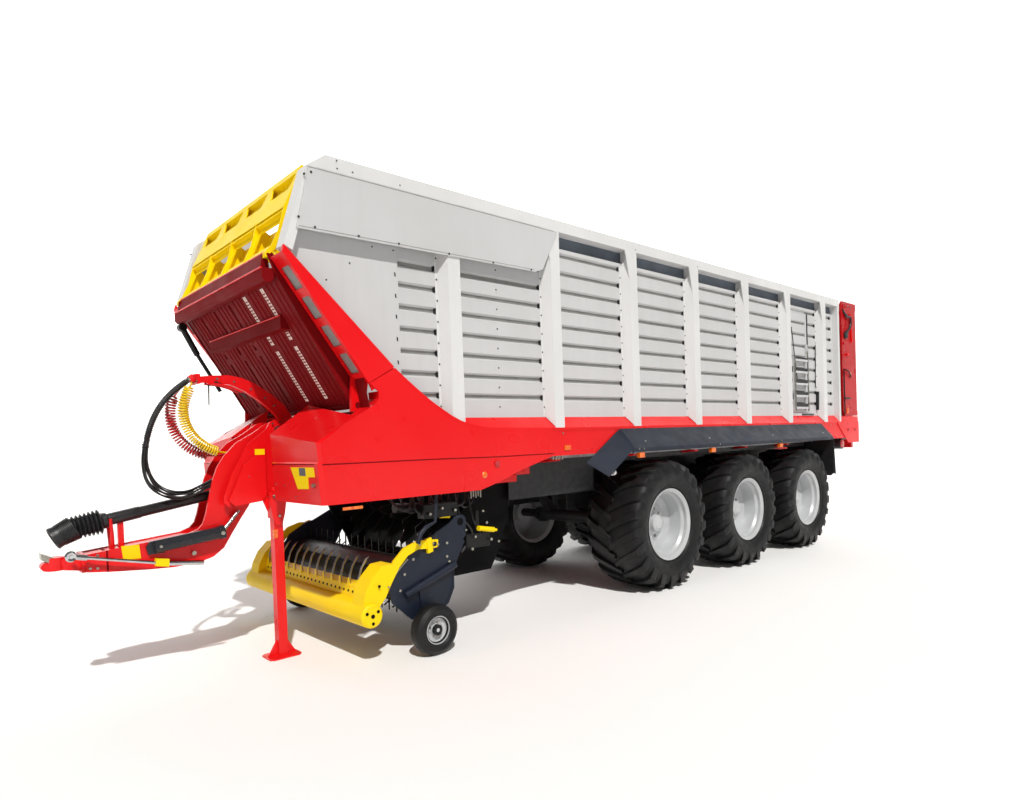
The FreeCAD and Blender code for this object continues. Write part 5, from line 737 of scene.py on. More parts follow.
# %% Drive shaft guard
SHAFT_AT = Vector((5.56, 0, 1.262))
SHAFT_AHEAD = Vector((1, 0, -0.168)).normalized()
CONE_AHEAD = Vector((1, 0, -0.50)).normalized()
SHAFT_RADIUS = 0.042
RIBS, RIB_PITCH = 7, 0.0275
RINGS, RING_PITCH = 9, 0.0112
tail = (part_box("pto_shaft")[0].x + 0.01 - SHAFT_AT.x) / SHAFT_AHEAD.x

profile = [(0.004, tail), (SHAFT_RADIUS, tail), (SHAFT_RADIUS, -0.31), (SHAFT_RADIUS + 0.004, -0.30),
           (SHAFT_RADIUS + 0.004, -0.08), (0.058, -0.07), (0.060, -0.040)]
for rib in range(RIBS):
    at, peak = -0.036 + rib * RIB_PITCH, 0.094 - 0.0012 * rib
    profile += [(0.066, at), (peak - 0.008, at + 0.009), (peak, at + 0.0125), (peak, at + 0.0155),
                (peak - 0.008, at + 0.019)]
bellows_end = profile[-1][1] + 0.008
profile += [(0.066, bellows_end), (0.004, bellows_end)]
cone_at = SHAFT_AT + SHAFT_AHEAD * (bellows_end - 0.012)
cone = [(0.004, -0.01), (0.070, -0.01), (0.088, 0.000)]
for ring in range(RINGS):
    at, reach = 0.004 + ring * RING_PITCH, 0.089 - 0.0010 * ring
    cone += [(reach, at), (reach + 0.0035, at + 0.002), (reach + 0.0035, at + 0.006), (reach, at + 0.008)]
cone += [(0.080, 0.110), (0.080, 0.150), (0.072, 0.152), (0.066, 0.120), (0.004, 0.112)]
shaft_guard = piece("shaft_guard", [turned(profile, SHAFT_AT, 48, axis=SHAFT_AHEAD),
                                    turned(cone, cone_at, 48, axis=CONE_AHEAD)],
                    bellows_rubber, "drawbar", smooth=35, hides=("pto_shaft",))
mouth = cone_at + CONE_AHEAD * 0.112
teeth = []
for index in range(8):
    angle = 2 * math.pi * index / 8
    out = Vector((0.45 * math.cos(angle), math.sin(angle), 0.893 * math.cos(angle)))
    teeth.append(tube([mouth + CONE_AHEAD * 0.006 + out * 0.070,
                       mouth + CONE_AHEAD * 0.036 + out * 0.074], 0.011, 6))
fork = [tube([mouth, mouth + CONE_AHEAD * 0.02], 0.040, 20)]
fork += [tube([mouth + Vector((0, y, 0)), mouth + CONE_AHEAD * 0.030 + Vector((0, y, 0))], 0.013, 8)
         for y in (-0.026, 0.026)]
piece("shaft_guard_lugs", teeth, bellows_rubber, "drawbar", smooth=35)
piece("shaft_fork", fork, worn_steel, "drawbar", smooth=35)
print("bellows end", round(bellows_end, 3), "m along the shaft")

# %% [markdown]
# ## Drawbar fittings
# The drawbar carries a hydraulic cylinder that springs it, with a chromed rod, and a steering rod for the
# rear axle, with a ball eye in front. Those working surfaces are bright and round. The plates on it are
# plain yellow sheet. Bolts are small prisms, all in one mesh for each finish.

# %% Drawbar fittings
drawbar_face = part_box("drawbar")[1].y
rod_y = 0.18
yellow_plates = [
    plate([(5.295, 0.967), (5.416, 0.975), (5.426, 1.078), (5.304, 1.074)], 0.1195, 0.1220),
    plate([(5.122, 0.886), (5.214, 0.903), (5.209, 0.960), (5.117, 0.944)], rod_y - 0.026, rod_y + 0.026)]
piece("drawbar_plates", yellow_plates, yellow_enamel, "drawbar")

ball_at = Vector((5.757, rod_y, 1.052))
rod_end = Vector((5.146, rod_y, 0.913))
rod_ahead = (rod_end - ball_at).normalized()
eye = [(0.012, -0.020), (0.030, -0.022), (0.037, -0.012), (0.040, 0.0), (0.037, 0.012), (0.030, 0.022),
       (0.012, 0.020)]
steering = [turned(eye, ball_at, 32),
            turned([(0.004, 0.03), (0.020, 0.03), (0.021, 0.10), (0.004, 0.10)], ball_at, 24, axis=rod_ahead)]
steering += [turned([(0.016, at), (0.0225, at + 0.0025), (0.016, at + 0.005)], ball_at, 24, axis=rod_ahead)
             for at in (0.036 + 0.007 * index for index in range(9))]
steering.append(tube([ball_at + rod_ahead * 0.10, rod_end], 0.0125, 16))
steering.append(tube([ball_at - Vector((0, 0.055, 0)), ball_at + Vector((0, 0.025, 0))], 0.013, 16))
steering.append(tube([rod_end, Vector((4.86, rod_y, 0.876))], 0.0195, 16))
made = piece("steering_linkage", steering, chrome, "drawbar", smooth=35, hides=("steering_rod",))

cylinder_low, cylinder_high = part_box("drawbar_cylinder")
cylinder_y = (cylinder_low.y + cylinder_high.y) / 2
back_end = Vector((4.706, cylinder_y, 1.100))
spring_rod = [tube([back_end, Vector((4.556, cylinder_y - 0.02, 1.262))], 0.017, 16)]
piece("cylinder_rod", spring_rod, chrome, "drawbar", smooth=35)
bolts = [bolt((4.716, cylinder_high.y - 0.006, 1.100), radius=0.016, height=0.010, sides=16),
         bolt((4.915, drawbar_face, 0.955), radius=0.017, height=0.012, sides=16),
         bolt((5.180, cylinder_high.y - 0.008, 1.052), radius=0.012, height=0.010)]
bolts += [bolt((x, 0.12, z), radius=0.010)
          for x, z in ((5.583, 1.030), (5.585, 0.935), (5.632, 1.024), (5.632, 0.940))]
bolts.append(plate([(5.837, 0.990), (5.915, 1.034), (5.915, 1.080), (5.837, 1.040)], -0.048, 0.048))
piece("drawbar_bolts", bolts, zinc_plated, "drawbar", smooth=35)
# A band of the darker red paints the shade in the seam across the drawbar.
seam = [block((5.514, -0.1225, 0.900), (5.526, 0.1225, 1.056))]
piece("drawbar_seam", seam, painted_shade_enamel, "drawbar", bevel=0.002)
holder = [tube([(5.463, y, 1.050), (5.468, y * 2.0, 1.170), (5.475, y * 2.3, 1.285)],
               [0.016, 0.014, 0.011], 8) for y in (-0.024, 0.024)]
piece("shaft_holder_fork", holder, red_enamel, "drawbar", smooth=35)

# %% [markdown]
# ## Neck, arm and jack
# Two cheeks carry the drawbar's pivot pins, with big pin heads and small bolts round them. The jack's head
# has a plate on its outer side, with pins through it. The arm has small bolts along its edge, and a cable and
# two brackets run along it.

# %% Neck, arm and jack
NECK_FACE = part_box("neck_cheeks")[1].y
JACK_X = (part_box("jack_leg")[0].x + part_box("jack_leg")[1].x) / 2
JACK_Y = (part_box("jack_leg")[0].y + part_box("jack_leg")[1].y) / 2
neck_pins = [bolt((4.215, NECK_FACE - 0.02, 1.930), radius=0.034, height=0.028, sides=32),
             bolt((4.215, NECK_FACE + 0.004, 1.930), radius=0.017, height=0.012)]
neck_pins += [bolt((x, NECK_FACE, z), radius=radius) for x, z, radius in (
    (4.262, 1.985, 0.009), (4.190, 1.995, 0.009), (4.400, 1.740, 0.006), (4.480, 1.545, 0.006))]
piece("neck_pins", on_both_sides(neck_pins), zinc_plated, "chassis", smooth=35)
blank_plate = [block((4.343, NECK_FACE - 0.001, 1.722), (4.425, NECK_FACE + 0.0072, 1.770))]
piece("neck_plates", blank_plate, yellow_enamel, "chassis")

HEAD_OUTLINE = [(-0.066, 1.40), (0.066, 1.40), (0.074, 1.33), (0.046, 1.17), (0.020, 1.12), (-0.030, 1.12),
                (-0.058, 1.22), (-0.076, 1.33)]
head_x = JACK_X + 0.002
head = [plate([(head_x + x, z) for x, z in HEAD_OUTLINE], JACK_Y + 0.049, JACK_Y + 0.057)]
piece("jack_head", head, red_enamel, "jack", bevel=0.002)
jack_pins = [tube([(JACK_X + x, JACK_Y - 0.039, z), (JACK_X + x, JACK_Y + 0.075, z)], radius, 12)
             for x, z, radius in ((-0.034, 1.365, 0.013), (0.036, 1.365, 0.013), (0.0, 1.20, 0.010))]
jack_pins.append(tube([(JACK_X - 0.05, JACK_Y + 0.072, 1.378), (JACK_X - 0.01, JACK_Y + 0.085, 1.384),
                       (JACK_X + 0.05, JACK_Y + 0.072, 1.376)], 0.006, 8))
piece("jack_pins", jack_pins, zinc_plated, "jack", smooth=35)
reflector = [block((JACK_X + 0.040, JACK_Y + 0.020, 1.010), (JACK_X + 0.046, JACK_Y + 0.040, 1.090)),
             block((JACK_X + 0.010, JACK_Y + 0.040, 1.015), (JACK_X + 0.040, JACK_Y + 0.044, 1.085))]
piece("jack_reflector", reflector, amber_acrylic, "jack", bevel=0.001)

cover = [(4.518, 1.648), (4.336, 1.774), (4.336, 1.382), (4.349, 1.361), (4.385, 1.330), (4.608, 1.307),
         (4.655, 1.354)]
covers = on_both_sides([plate(cover, NECK_FACE, NECK_FACE + 0.006)])
piece("neck_covers", covers, red_enamel, "chassis", bevel=0.002)

clips = [tube([(4.700, 0, 2.335), (4.700, 0, 2.290), (4.704, 0, 2.150)], [0.008, 0.006, 0.005], 8),
         tube([(4.66, 0.034, 2.345), (4.56, 0.036, 2.310), (4.46, 0.036, 2.262), (4.40, 0.034, 2.215)], 0.007, 8)]
piece("arm_cable", clips, hose_rubber, "chassis", smooth=35)
arm_bolts = on_both_sides([bolt((x, 0.028, z), radius=0.010) for x, z in (
    (4.780, 2.365), (4.640, 2.372), (4.500, 2.352), (4.360, 2.290), (4.240, 2.215), (4.160, 2.150))])
piece("arm_bolts", arm_bolts, zinc_plated, "chassis", smooth=35)
edge = [tube([(4.72, y, 2.330), (4.60, y, 2.320), (4.53, y, 2.300), (4.44, y, 2.262)], 0.010, 8)
        for y in (-0.04, 0.04)]
piece("arm_brackets", edge, red_enamel, "chassis", smooth=35)

# %% Fittings of the hoses
fittings = []
for index in range(HOSES):
    angle = 2 * math.pi * index / HOSES
    around = Vector((0, 0.019 * math.cos(angle), 0.019 * math.sin(angle)))
    for at, ahead in ((OIL_ROUTE[0], (0.82, 0, -0.57)), (OIL_ROUTE[-1], (0.84, 0, -0.54))):
        at, ahead = Vector(at) + around, Vector(ahead)
        fittings.append(tube([at - ahead * 0.030, at + ahead * 0.012], 0.0085, 6))
for end, back in ((YELLOW_ROUTE[-1], (-0.05, 0, 0.018)), (RED_ROUTE[-1], (-0.04, 0, 0.02))):
    fittings.append(tube([Vector(end), Vector(end) + Vector(back)], 0.013, 6))
for route in (YELLOW_ROUTE, RED_ROUTE):
    start = Vector(route[0])
    fittings.append(tube([start + Vector((-0.035, 0, 0.012)), start + Vector((0.004, 0, -0.004))], 0.012, 6))
piece("hose_fittings", fittings, zinc_plated, "chassis", smooth=35)

# %% [markdown]
# ## Wall fittings
# A slanted cheek closes each post towards the front and is bolted to the pressed sheet in the middle of every slat.
# Grey strips paint the shade in the bottoms of the grooves, a dark block paints the deeper shade at each groove's
# rear end, and a slate strip paints the shade in the recess under the rail. The wide front sheet carries slanted
# drain slots and blind rivets.

# %% Posts, grooves and rivets
POST_FACE, PANEL_FACE, HEAD_FACE = 1.255, 1.160, 1.130
POST_FRONTS = [3.105 - 1.27 * index for index in range(7)]
POST_WIDTH = 0.13
GROOVE_TOPS = [3.652 - 0.181 * index for index in range(9)]
SLAT_MIDDLES = [3.671] + [top - 0.1215 for top in GROOVE_TOPS]
SHEET_FRONT, WALL_REAR = 3.57, -5.125
SIGN_FACE = 1.268
DOOR_REAR, DOOR_FRONT = -4.12, -3.435

cheeks, post_bolts = [], []
for front in POST_FRONTS:
    cheeks.append(prism([(front, POST_FACE, 1.885), (front, POST_FACE, 3.800),
                         (front + 0.050, PANEL_FACE + 0.003, 3.655),
                         (front + 0.050, PANEL_FACE + 0.003, 1.990)], 0.003))
    cheeks.append(block((front + 0.048, PANEL_FACE, 1.990), (front + 0.076, PANEL_FACE + 0.0035, 3.655)))
    post_bolts += [bolt((front + 0.062, PANEL_FACE + 0.002, z), radius=0.008, height=0.006)
                   for z in SLAT_MIDDLES[1:]]
piece("post_cheeks", on_both_sides(cheeks), coated_sheet, "chassis", bevel=0.002)


def groove_fill(rear, front, tops):
    """Painted shade in the grooves of one panel between two places: a grey strip along each groove's bottom, and a
    dark block at its rear end.
    """
    filled = [block((rear, PANEL_FACE - 0.0265, top - 0.043), (front, PANEL_FACE - 0.0245, top - 0.015))
              for top in tops]
    closed = [block((rear + 0.028, PANEL_FACE - 0.026, top - 0.050),
                    (rear + 0.042, PANEL_FACE - 0.002, top - 0.008)) for top in tops]
    return filled, closed


bays = [(POST_FRONTS[0] + 0.045, SHEET_FRONT - 0.016)]
bays += [(rear + 0.045, front - POST_WIDTH - 0.011) for front, rear in zip(POST_FRONTS, POST_FRONTS[1:])]
bays.append((WALL_REAR + 0.045, POST_FRONTS[-1] - POST_WIDTH - 0.011))
door_bay = bays[6]
# Slate strips paint the shade in the recess under the rail.
strips = [block((rear - 0.044, HEAD_FACE - 0.001, 3.6905), (front + 0.010, HEAD_FACE + 0.001, 3.8175))
          for rear, front in bays]
# The grey strips paint the shade in the grooves, and the dark blocks paint the deeper shade at their rear ends.
dust, end_shades = [], []
for rear, front in bays:
    left_front = DOOR_REAR - 0.004 if (rear, front) == door_bay else front
    for shapes, left, right in zip((dust, end_shades), groove_fill(rear, left_front, GROOVE_TOPS),
                                   groove_fill(rear, front, GROOVE_TOPS)):
        shapes += left + mirrored(right)
piece("groove_shade", dust, grey_for_shade_and_lines, "chassis")
piece("groove_end_shades", end_shades, bellows_rubber, "chassis")
door_groove_shade = groove_fill(DOOR_REAR + 0.045, DOOR_FRONT - 0.045, GROOVE_TOPS[1:])[0]
piece("door_groove_shade", door_groove_shade, grey_for_shade_and_lines, "access_door")
piece("rail_strips", on_both_sides(strips), slate_grey_and_shade, "chassis")

dark_rivets = [bolt((2.482, PANEL_FACE, z), radius=0.0075, height=0.004, sides=10) for z in SLAT_MIDDLES[2:]]
dark_rivets += [bolt((x, PANEL_FACE + 0.020, z), radius=0.007, height=0.004, sides=10) for x, z in (
    (4.004, 3.180), (4.206, 3.025), (4.459, 3.280), (3.799, 3.340), (3.604, 3.343))]
rail_bolts = [bolt((x, POST_FACE, z), radius=0.006, height=0.004, sides=8) for x, z in (
    (4.120, 3.850), (4.122, 3.908), (3.990, 3.853), (3.564, 3.853), (0.448, 3.847), (-0.822, 3.847))]
sign_bolts = [bolt((x, SIGN_FACE, z), radius=0.009, height=0.005, sides=10) for x, z in (
    (4.339, 3.768), (4.393, 3.742), (4.449, 3.425), (4.326, 3.372), (3.967, 3.372), (3.605, 3.375),
    (3.100, 3.376), (2.600, 3.378), (2.120, 3.380))]
wall_bolts = on_both_sides(post_bolts + dark_rivets + rail_bolts + sign_bolts)
piece("wall_bolts", wall_bolts, worn_steel, "chassis", smooth=35)
# The drain slots are black quads, which paint the shade inside them.
slots = [prism([(3.588, PANEL_FACE + 0.0195, z - 0.018), (3.600, PANEL_FACE + 0.0195, z - 0.014),
                (3.602, PANEL_FACE + 0.0195, z + 0.018), (3.590, PANEL_FACE + 0.0195, z + 0.014)], -0.002)
         for z in (3.150, 2.976, 2.808, 2.626, 2.437)]
piece("drain_slots", on_both_sides(slots), black_enamel, "chassis")
borders = [tube([(4.372, 1.2695, 3.803), (1.790, 1.2695, 3.803)], 0.0022, 6),
           tube([(4.450, 1.2695, 3.362), (2.085, 1.2695, 3.390)], 0.0022, 6)]
piece("sign_borders", on_both_sides(borders), grey_for_shade_and_lines, "chassis", smooth=True)

# %% [markdown]
# ## Front wall and flap
# The front wall lets the driver look into the hold through perforated strips. Each is a ladder of thin bars in a
# long opening, and the sheet between the strips is stiffened by folded ribs. The wall, its bars and its ribs are
# drawn in a darker red, which paints the shade the wall lies in. In the two columns on the left a pale glowing sheet
# paints the daylight that shows through from the hold.

# %% Perforated strips and ribs
WALL_FOOT, WALL_HEAD = Vector((3.940, 0, 2.078)), Vector((4.560, 0, 3.090))
wall_up = (WALL_HEAD - WALL_FOOT).normalized()
wall_out = Vector((wall_up.z, 0, -wall_up.x))
SLOT_CENTRES = [0.352 * index for index in (-2, -1, 0, 1, 2)]
SLOT_SHARES = ((0.09, 0.50), (0.55, 0.92))
bars, ribs = [], []


def on_wall(share, y, out=0.0):
    """A point of the sloping front sheet, from its foot to its head."""
    return WALL_FOOT.lerp(WALL_HEAD, share) + Vector((0, y, 0)) + out * wall_out


def wall_bar(low, high, start, end, wide, out, thick):
    """A flat bar on the sloping sheet from one (share, y) to another, wide along the wall."""
    share_wide = wide / (WALL_HEAD - WALL_FOOT).length
    return prism([on_wall(low, start, out), on_wall(high, end, out), on_wall(high + share_wide, end, out),
                  on_wall(low + share_wide, start, out)], thick)


for middle in SLOT_CENTRES:
    for low, high in SLOT_SHARES:
        long = (high - low) * (WALL_HEAD - WALL_FOOT).length
        for y, wide in ((-0.022, 0.006), (-0.003, 0.006), (0.016, 0.006)):
            bars.append(wall_bar(low, low, middle + y, middle + y + wide, long, -0.010, 0.003))
        for index in range(int(long / 0.024)):
            share = low + 0.024 * index / (WALL_HEAD - WALL_FOOT).length
            bars.append(wall_bar(share, share + 0.008, middle - 0.020, middle + 0.020, 0.010, -0.0105, 0.002))
for middle in (-0.880, -0.528, -0.176, 0.176, 0.528, 0.880):
    for shift in (-0.075, 0.0, 0.075):
        at = middle + shift
        outline = [(at - 0.018, 0.0), (at - 0.010, 0.007), (at + 0.010, 0.007), (at + 0.018, 0.0)]
        for (y, out), (next_y, next_out) in zip(outline, outline[1:]):
            ribs.append(prism([on_wall(0.03, y, out), on_wall(0.03, next_y, next_out),
                               on_wall(0.93, next_y, next_out), on_wall(0.93, y, out)], -0.002))
piece("perforated_strips", bars, painted_shade_enamel, "front_wall")
sheets, webs = [], []
for middle in SLOT_CENTRES[3:]:
    for low, high in SLOT_SHARES:
        long = (high - low) * (WALL_HEAD - WALL_FOOT).length
        sheets.append(wall_bar(low, low, middle - 0.024, middle + 0.024, long, 0.0012, 0.001))
        webs += [wall_bar(low, low, middle + y, middle + y + 0.005, long, 0.0025, 0.001)
                 for y in (-0.010, 0.006)]
        for index in range(1, int(long / 0.026)):
            at = low + index / (long / 0.026) * (high - low)
            webs.append(wall_bar(at, at, middle - 0.024, middle + 0.024, 0.009, 0.0028, 0.001))
piece("daylit_strips", sheets, daylit_sheet, "front_wall")
piece("strip_webs", webs, painted_shade_enamel, "front_wall")
piece("wall_ribs", ribs, painted_shade_enamel, "front_wall")
lip = [plate([(4.622, 3.085), (4.634, 3.085), (4.592, 3.212), (4.580, 3.212)], -0.985, 0.985)]
piece("wall_lip", lip, painted_shade_enamel, "front_wall")
edges = [tube([(4.586, y, 3.214) for y in (-0.985, 0.985)], 0.009, 8),
         tube([(4.640, y, 3.088) for y in (-1.035, 1.035)], 0.007, 8),
         tube([(4.409, y, 2.802) for y in (-0.790, 0.790)], 0.006, 8)]
piece("wall_edges", edges, red_enamel, "front_wall", smooth=True)
# Plates in the darker red close the gaps beside and under the front wall and paint the shade seen through them.
closers = [plate([(3.990, 2.130), (4.562, 3.080), (4.600, 3.180), (4.560, 3.205), (3.925, 2.300),
                  (3.930, 2.160)], 1.046, 1.050),
           prism([(3.905, 0.60, 2.045), (3.905, 1.130, 2.045), (3.740, 1.130, 1.990),
                  (3.740, 0.60, 1.990)], 0.004),
           prism([(3.900, 1.100, 2.030), (3.900, 1.238, 2.030), (3.960, 1.238, 2.330),
                  (3.960, 1.100, 2.330)], 0.004)]
piece("front_closers", on_both_sides(closers), painted_shade_enamel, "chassis")
# Grey sheets behind the band's windows paint the shade in the hold seen through them.
window_shades = []
band_foot, band_head = Vector((3.922, 0, 2.255)), Vector((4.578, 0, 3.163))
band_out = Vector((band_head.z - band_foot.z, 0, band_foot.x - band_head.x)).normalized()
for index in range(4):
    low, high = (band_foot.lerp(band_head, share + 0.22 * index) - 0.012 * band_out for share in (0.07, 0.27))
    window_shades.append(prism([end + Vector((0, y, 0)) for end, y in (
        (low, 1.085), (low, 1.236), (high, 1.236), (high, 1.085))], 0.003))
piece("band_window_shades", on_both_sides(window_shades), grey_for_shade_and_lines, "chassis")
backs = [plate([(4.470, 3.200), (4.474, 3.202), (4.345, 3.494), (4.341, 3.492)], -1.030, 1.030)]
backs += [plate([(4.540, 3.222), (4.470, 3.200), (4.345, 3.490), (4.400, 3.525)], y - 0.003, y + 0.003)
          for y in (-1.028, -0.515, 0.008, 0.529, 1.028)]
piece("flap_backs", backs, yellow_enamel, "flap")

# %% [markdown]
# ## Pick-up fittings
# Thin spring wires lead the crop over the roller. Each stands in a small triangular foot on a strip with a
# row of round holes. Hoses, hard pipes and fittings crowd below the hood, where the pick-up's rams and the
# brakes are fed.

# %% Guard wires, feet and strip
WIRE_LINE = [(3.879, 0.600), (3.875, 0.682), (3.851, 0.757), (3.803, 0.825), (3.775, 0.842)]
WIRE_RADII = [0.0082, 0.0082, 0.0080, 0.0078, 0.004]
WIRE_PLACES = [-0.9 + 0.15 * index for index in range(13)]
wires = [tube([(x, y, z) for x, z in WIRE_LINE], WIRE_RADII, 8) for y in WIRE_PLACES]
piece("guard_wires", wires, galvanised, "guard", smooth=True)
feet = [prism([(3.889, y - 0.024, 0.598), (3.889, y + 0.024, 0.598), (3.883, y + 0.006, 0.668),
               (3.883, y - 0.006, 0.668)], 0.006) for y in WIRE_PLACES]
piece("wire_feet", feet, yellow_enamel, "guard")
# The strip's holes are near-black discs and the gap above the roller a near-black line, which paint the shade in
# them.
strip_holes = [bolt((3.8945, -1.05 + 0.075 * index, 0.560), out=(1, 0, 0.19), radius=0.011, height=0.002,
                    sides=12) for index in range(29)]
strip_holes += [tube([(3.9035, y, 0.507) for y in (-1.120, 1.120)], 0.0045, 6)]
strip_holes += [bolt((3.925 + 0.058 * math.cos(angle), 1.185, 0.420 + 0.058 * math.sin(angle)), radius=0.014,
                     height=0.003, sides=12) for angle in (0.5, 2.6, 4.7)]
strip_holes.append(bolt((3.925, 1.185, 0.420), radius=0.017, height=0.004, sides=16))
strip_holes.append(bolt((3.840, 1.158, 0.640), radius=0.012, height=0.003, sides=12))
piece("guard_holes", strip_holes, housing_enamel, "guard")
guard_bolts = [bolt((x, 1.158, z), radius=0.009)
               for x, z in ((3.300, 0.915), (3.250, 0.900), (3.440, 0.920), (3.755, 0.620))]
piece("guard_bolts", on_both_sides(guard_bolts), zinc_plated, "guard", smooth=35)

# %% Pipes, hoses and fittings below the hood
PLATE_FACE = 1.11
pipes = [tube([(3.490, 1.208, 0.941), (3.460, 1.208, 1.020), (3.400, 1.208, 1.070), (3.300, 1.200, 1.104),
               (3.270, 1.190, 1.345)], [0.020, 0.020, 0.018, 0.013, 0.013], 14)]
piece("guard_strut", pipes, slate_polyethylene, "chassis", smooth=True)
rods = [tube([(x, 1.125, z) for x, z in ((3.778, 0.538), (3.735, 0.638), (3.643, 0.731), (3.542, 0.812))],
             0.008, 8)]
rods += [bolt((x, PLATE_FACE, z), radius=0.012, height=0.010, sides=10) for x, z in (
    (3.122, 0.891), (3.127, 0.775), (3.102, 0.727), (3.571, 0.687), (3.620, 0.560), (3.480, 0.800),
    (3.330, 0.470))]
piece("pickup_rods", on_both_sides(rods), zinc_plated, "pickup", smooth=35)

hoses = []
for start, middle, end in (((2.944, 1.098), (2.833, 1.010), (2.921, 0.778)),
                           ((2.791, 1.082), (2.737, 0.969), (2.879, 0.848))):
    line = smooth_line([(start[0], 1.02, start[1] + 0.20), (start[0], 1.06, start[1]),
                        (middle[0], 1.08, middle[1]), (middle[0] - 0.05, 1.08, middle[1] - 0.11),
                        (end[0], 1.06, end[1])])
    hoses.append(tube(line, 0.011, 8))
for index in range(8):
    x = 3.57 - 0.10 * index
    line = smooth_line([(x, 0.90 + 0.03 * (index % 3), 1.345), (x + 0.03, 1.02, 1.26 - 0.02 * (index % 4)),
                        (x - 0.06, 1.06 - 0.05 * (index % 2), 1.19 - 0.03 * (index % 3)),
                        (x - 0.16, 1.02, 1.24), (x - 0.20, 0.95, 1.345)])
    hoses.append(tube(line, 0.009 + 0.002 * (index % 3), 8))
piece("feed_hoses", hoses, hose_rubber, "chassis", smooth=True)
fittings = [tube([(2.860 - 0.028 * index, 1.150, 1.345),
                  (2.860 - 0.028 * index, 1.150, 1.262 + 0.012 * (index % 2))], 0.0075, 6)
            for index in range(5)]
fittings += [tube([(3.57 - 0.10 * index, 0.905 + 0.03 * (index % 3), 1.340),
                   (3.573 - 0.10 * index, 0.93 + 0.03 * (index % 3), 1.300)], 0.013, 6)
             for index in range(8)]
fittings += [bolt((x, 1.11, z), radius=r, height=0.014, sides=6) for x, z, r in (
    (2.84, 0.800, 0.014), (2.80, 0.905, 0.012), (2.905, 0.98, 0.010), (3.02, 1.17, 0.014), (3.16, 1.20, 0.011),
    (3.29, 1.16, 0.013), (2.70, 1.13, 0.011), (2.66, 1.02, 0.013), (2.61, 0.86, 0.015), (2.52, 0.83, 0.012))]
piece("feed_fittings", fittings, zinc_plated, "chassis", smooth=35)
valves = [block((2.98, 1.00, 1.12), (3.34, 1.10, 1.24)), block((2.60, 1.03, 0.80), (2.88, 1.09, 0.93)),
          tube([(3.28, 0.98, 1.21), (3.56, 0.98, 1.23)], 0.042, 16),
          tube([(2.74, 1.07, 1.14), (2.74, 1.07, 1.00)], 0.022, 12)]
piece("feed_valves", valves, black_enamel, "chassis", smooth=35, bevel=0.003)
handle = [tube([(2.760, 1.115, 0.979), (2.575, 1.115, 0.944)], 0.024, 12),
          tube([(2.575, 1.115, 0.944), (2.540, 1.115, 0.938)], 0.013, 10),
          tube([(3.05, 1.070, 1.115), (3.15, 1.070, 1.125)], 0.016, 10)]
piece("valve_handles", handle, yellow_enamel, "chassis", smooth=35)
gauge_bolts = [bolt((3.375, 1.262, 0.212), radius=0.020, height=0.012, sides=16)]
for turn in range(4):
    angle = turn * math.pi / 2 + 0.4
    gauge_bolts.append(bolt((3.375 + 0.062 * math.cos(angle), 1.245, 0.212 + 0.062 * math.sin(angle)),
                            radius=0.010, height=0.010))
piece("gauge_bolts", gauge_bolts, zinc_plated, "pickup", smooth=35)

# %% [markdown]
# ## Hood and sill fittings
# The hood is folded sheet, so its halves meet in a joint whose shade is painted as a line of the darker red that
# runs round the corner. A blank plate, a valve for the suspension and a bracket sit on its front, and small orange
# markers along its side.

# %% Hood fittings
HOOD_FRONT, HOOD_SIDE = 4.350, 1.269


def on_hood(y, z, out=0.0):
    """A point of the hood's front face, which leans forward a little."""
    return Vector((HOOD_FRONT + 0.0645 * (z - 1.338) + out, y, z))


seams = [tube([on_hood(0.432, 1.644), on_hood(1.180, 1.644), (4.341, HOOD_SIDE, 1.641), (3.275, HOOD_SIDE, 1.634),
               (2.678, HOOD_SIDE, 1.624), (1.895, HOOD_SIDE, 1.624)],
              0.0042, 6)]
piece("hood_seams", on_both_sides(seams), painted_shade_enamel, "chassis", smooth=35)
label = [(0.788, 1.619), (0.881, 1.451), (1.065, 1.457), (1.073, 1.546), (1.185, 1.549), (1.180, 1.620)]
hood_plate = [prism([on_hood(y, z, 0.004) for y, z in label], -0.003)]
piece("hood_plate", hood_plate, yellow_enamel, "chassis")
patch = [prism([on_hood(y, z, 0.006) for y, z in (
    (0.937, 1.616), (0.937, 1.556), (1.041, 1.556), (1.041, 1.616))], -0.002)]
piece("hood_patch", patch, slate_grey_and_shade, "chassis")
bracket = [prism([(4.300, 0.612, 1.429), (4.300, 0.716, 1.334), (4.300, 0.985, 1.335), (4.300, 1.117, 1.399),
                  (4.300, 0.994, 1.442)], -0.050)]
piece("hood_bracket", on_both_sides(bracket), red_enamel, "chassis", bevel=0.003)
valve = [tube([(HOOD_FRONT, 1.171, 1.486), (HOOD_FRONT + 0.030, 1.171, 1.486)], 0.017, 16),
         tube([(HOOD_FRONT + 0.028, 1.171, 1.486), (HOOD_FRONT + 0.040, 1.171, 1.486)], 0.009, 6)]
valve += [bolt(on_hood(y, z), out=(1, 0, 0), radius=0.006) for y, z in (
    (0.470, 1.480), (0.640, 1.470), (0.830, 1.390))]
piece("hood_bolts", on_both_sides(valve), zinc_plated, "chassis", smooth=35)
markers = [block((4.025, HOOD_SIDE - 0.002, 1.290), (4.193, HOOD_SIDE + 0.003, 1.312)),
           turned([(0.002, -0.004), (0.030, -0.004), (0.030, 0.004), (0.024, 0.010), (0.002, 0.012)],
                  (2.791, HOOD_SIDE, 1.469), 24),
           block((1.640, POST_FACE + 0.002, 1.650), (1.725, POST_FACE + 0.012, 1.698))]
piece("side_markers", on_both_sides(markers), amber_acrylic, "chassis", smooth=35)

# %% [markdown]
# ## Mudguards and underside
# The mudguards are bolted through with bright screws. Below them hang dark rubber sheets that paint the shade under
# the body: some along the frame, which keep the wheel houses dark, and one across behind the last wheel.

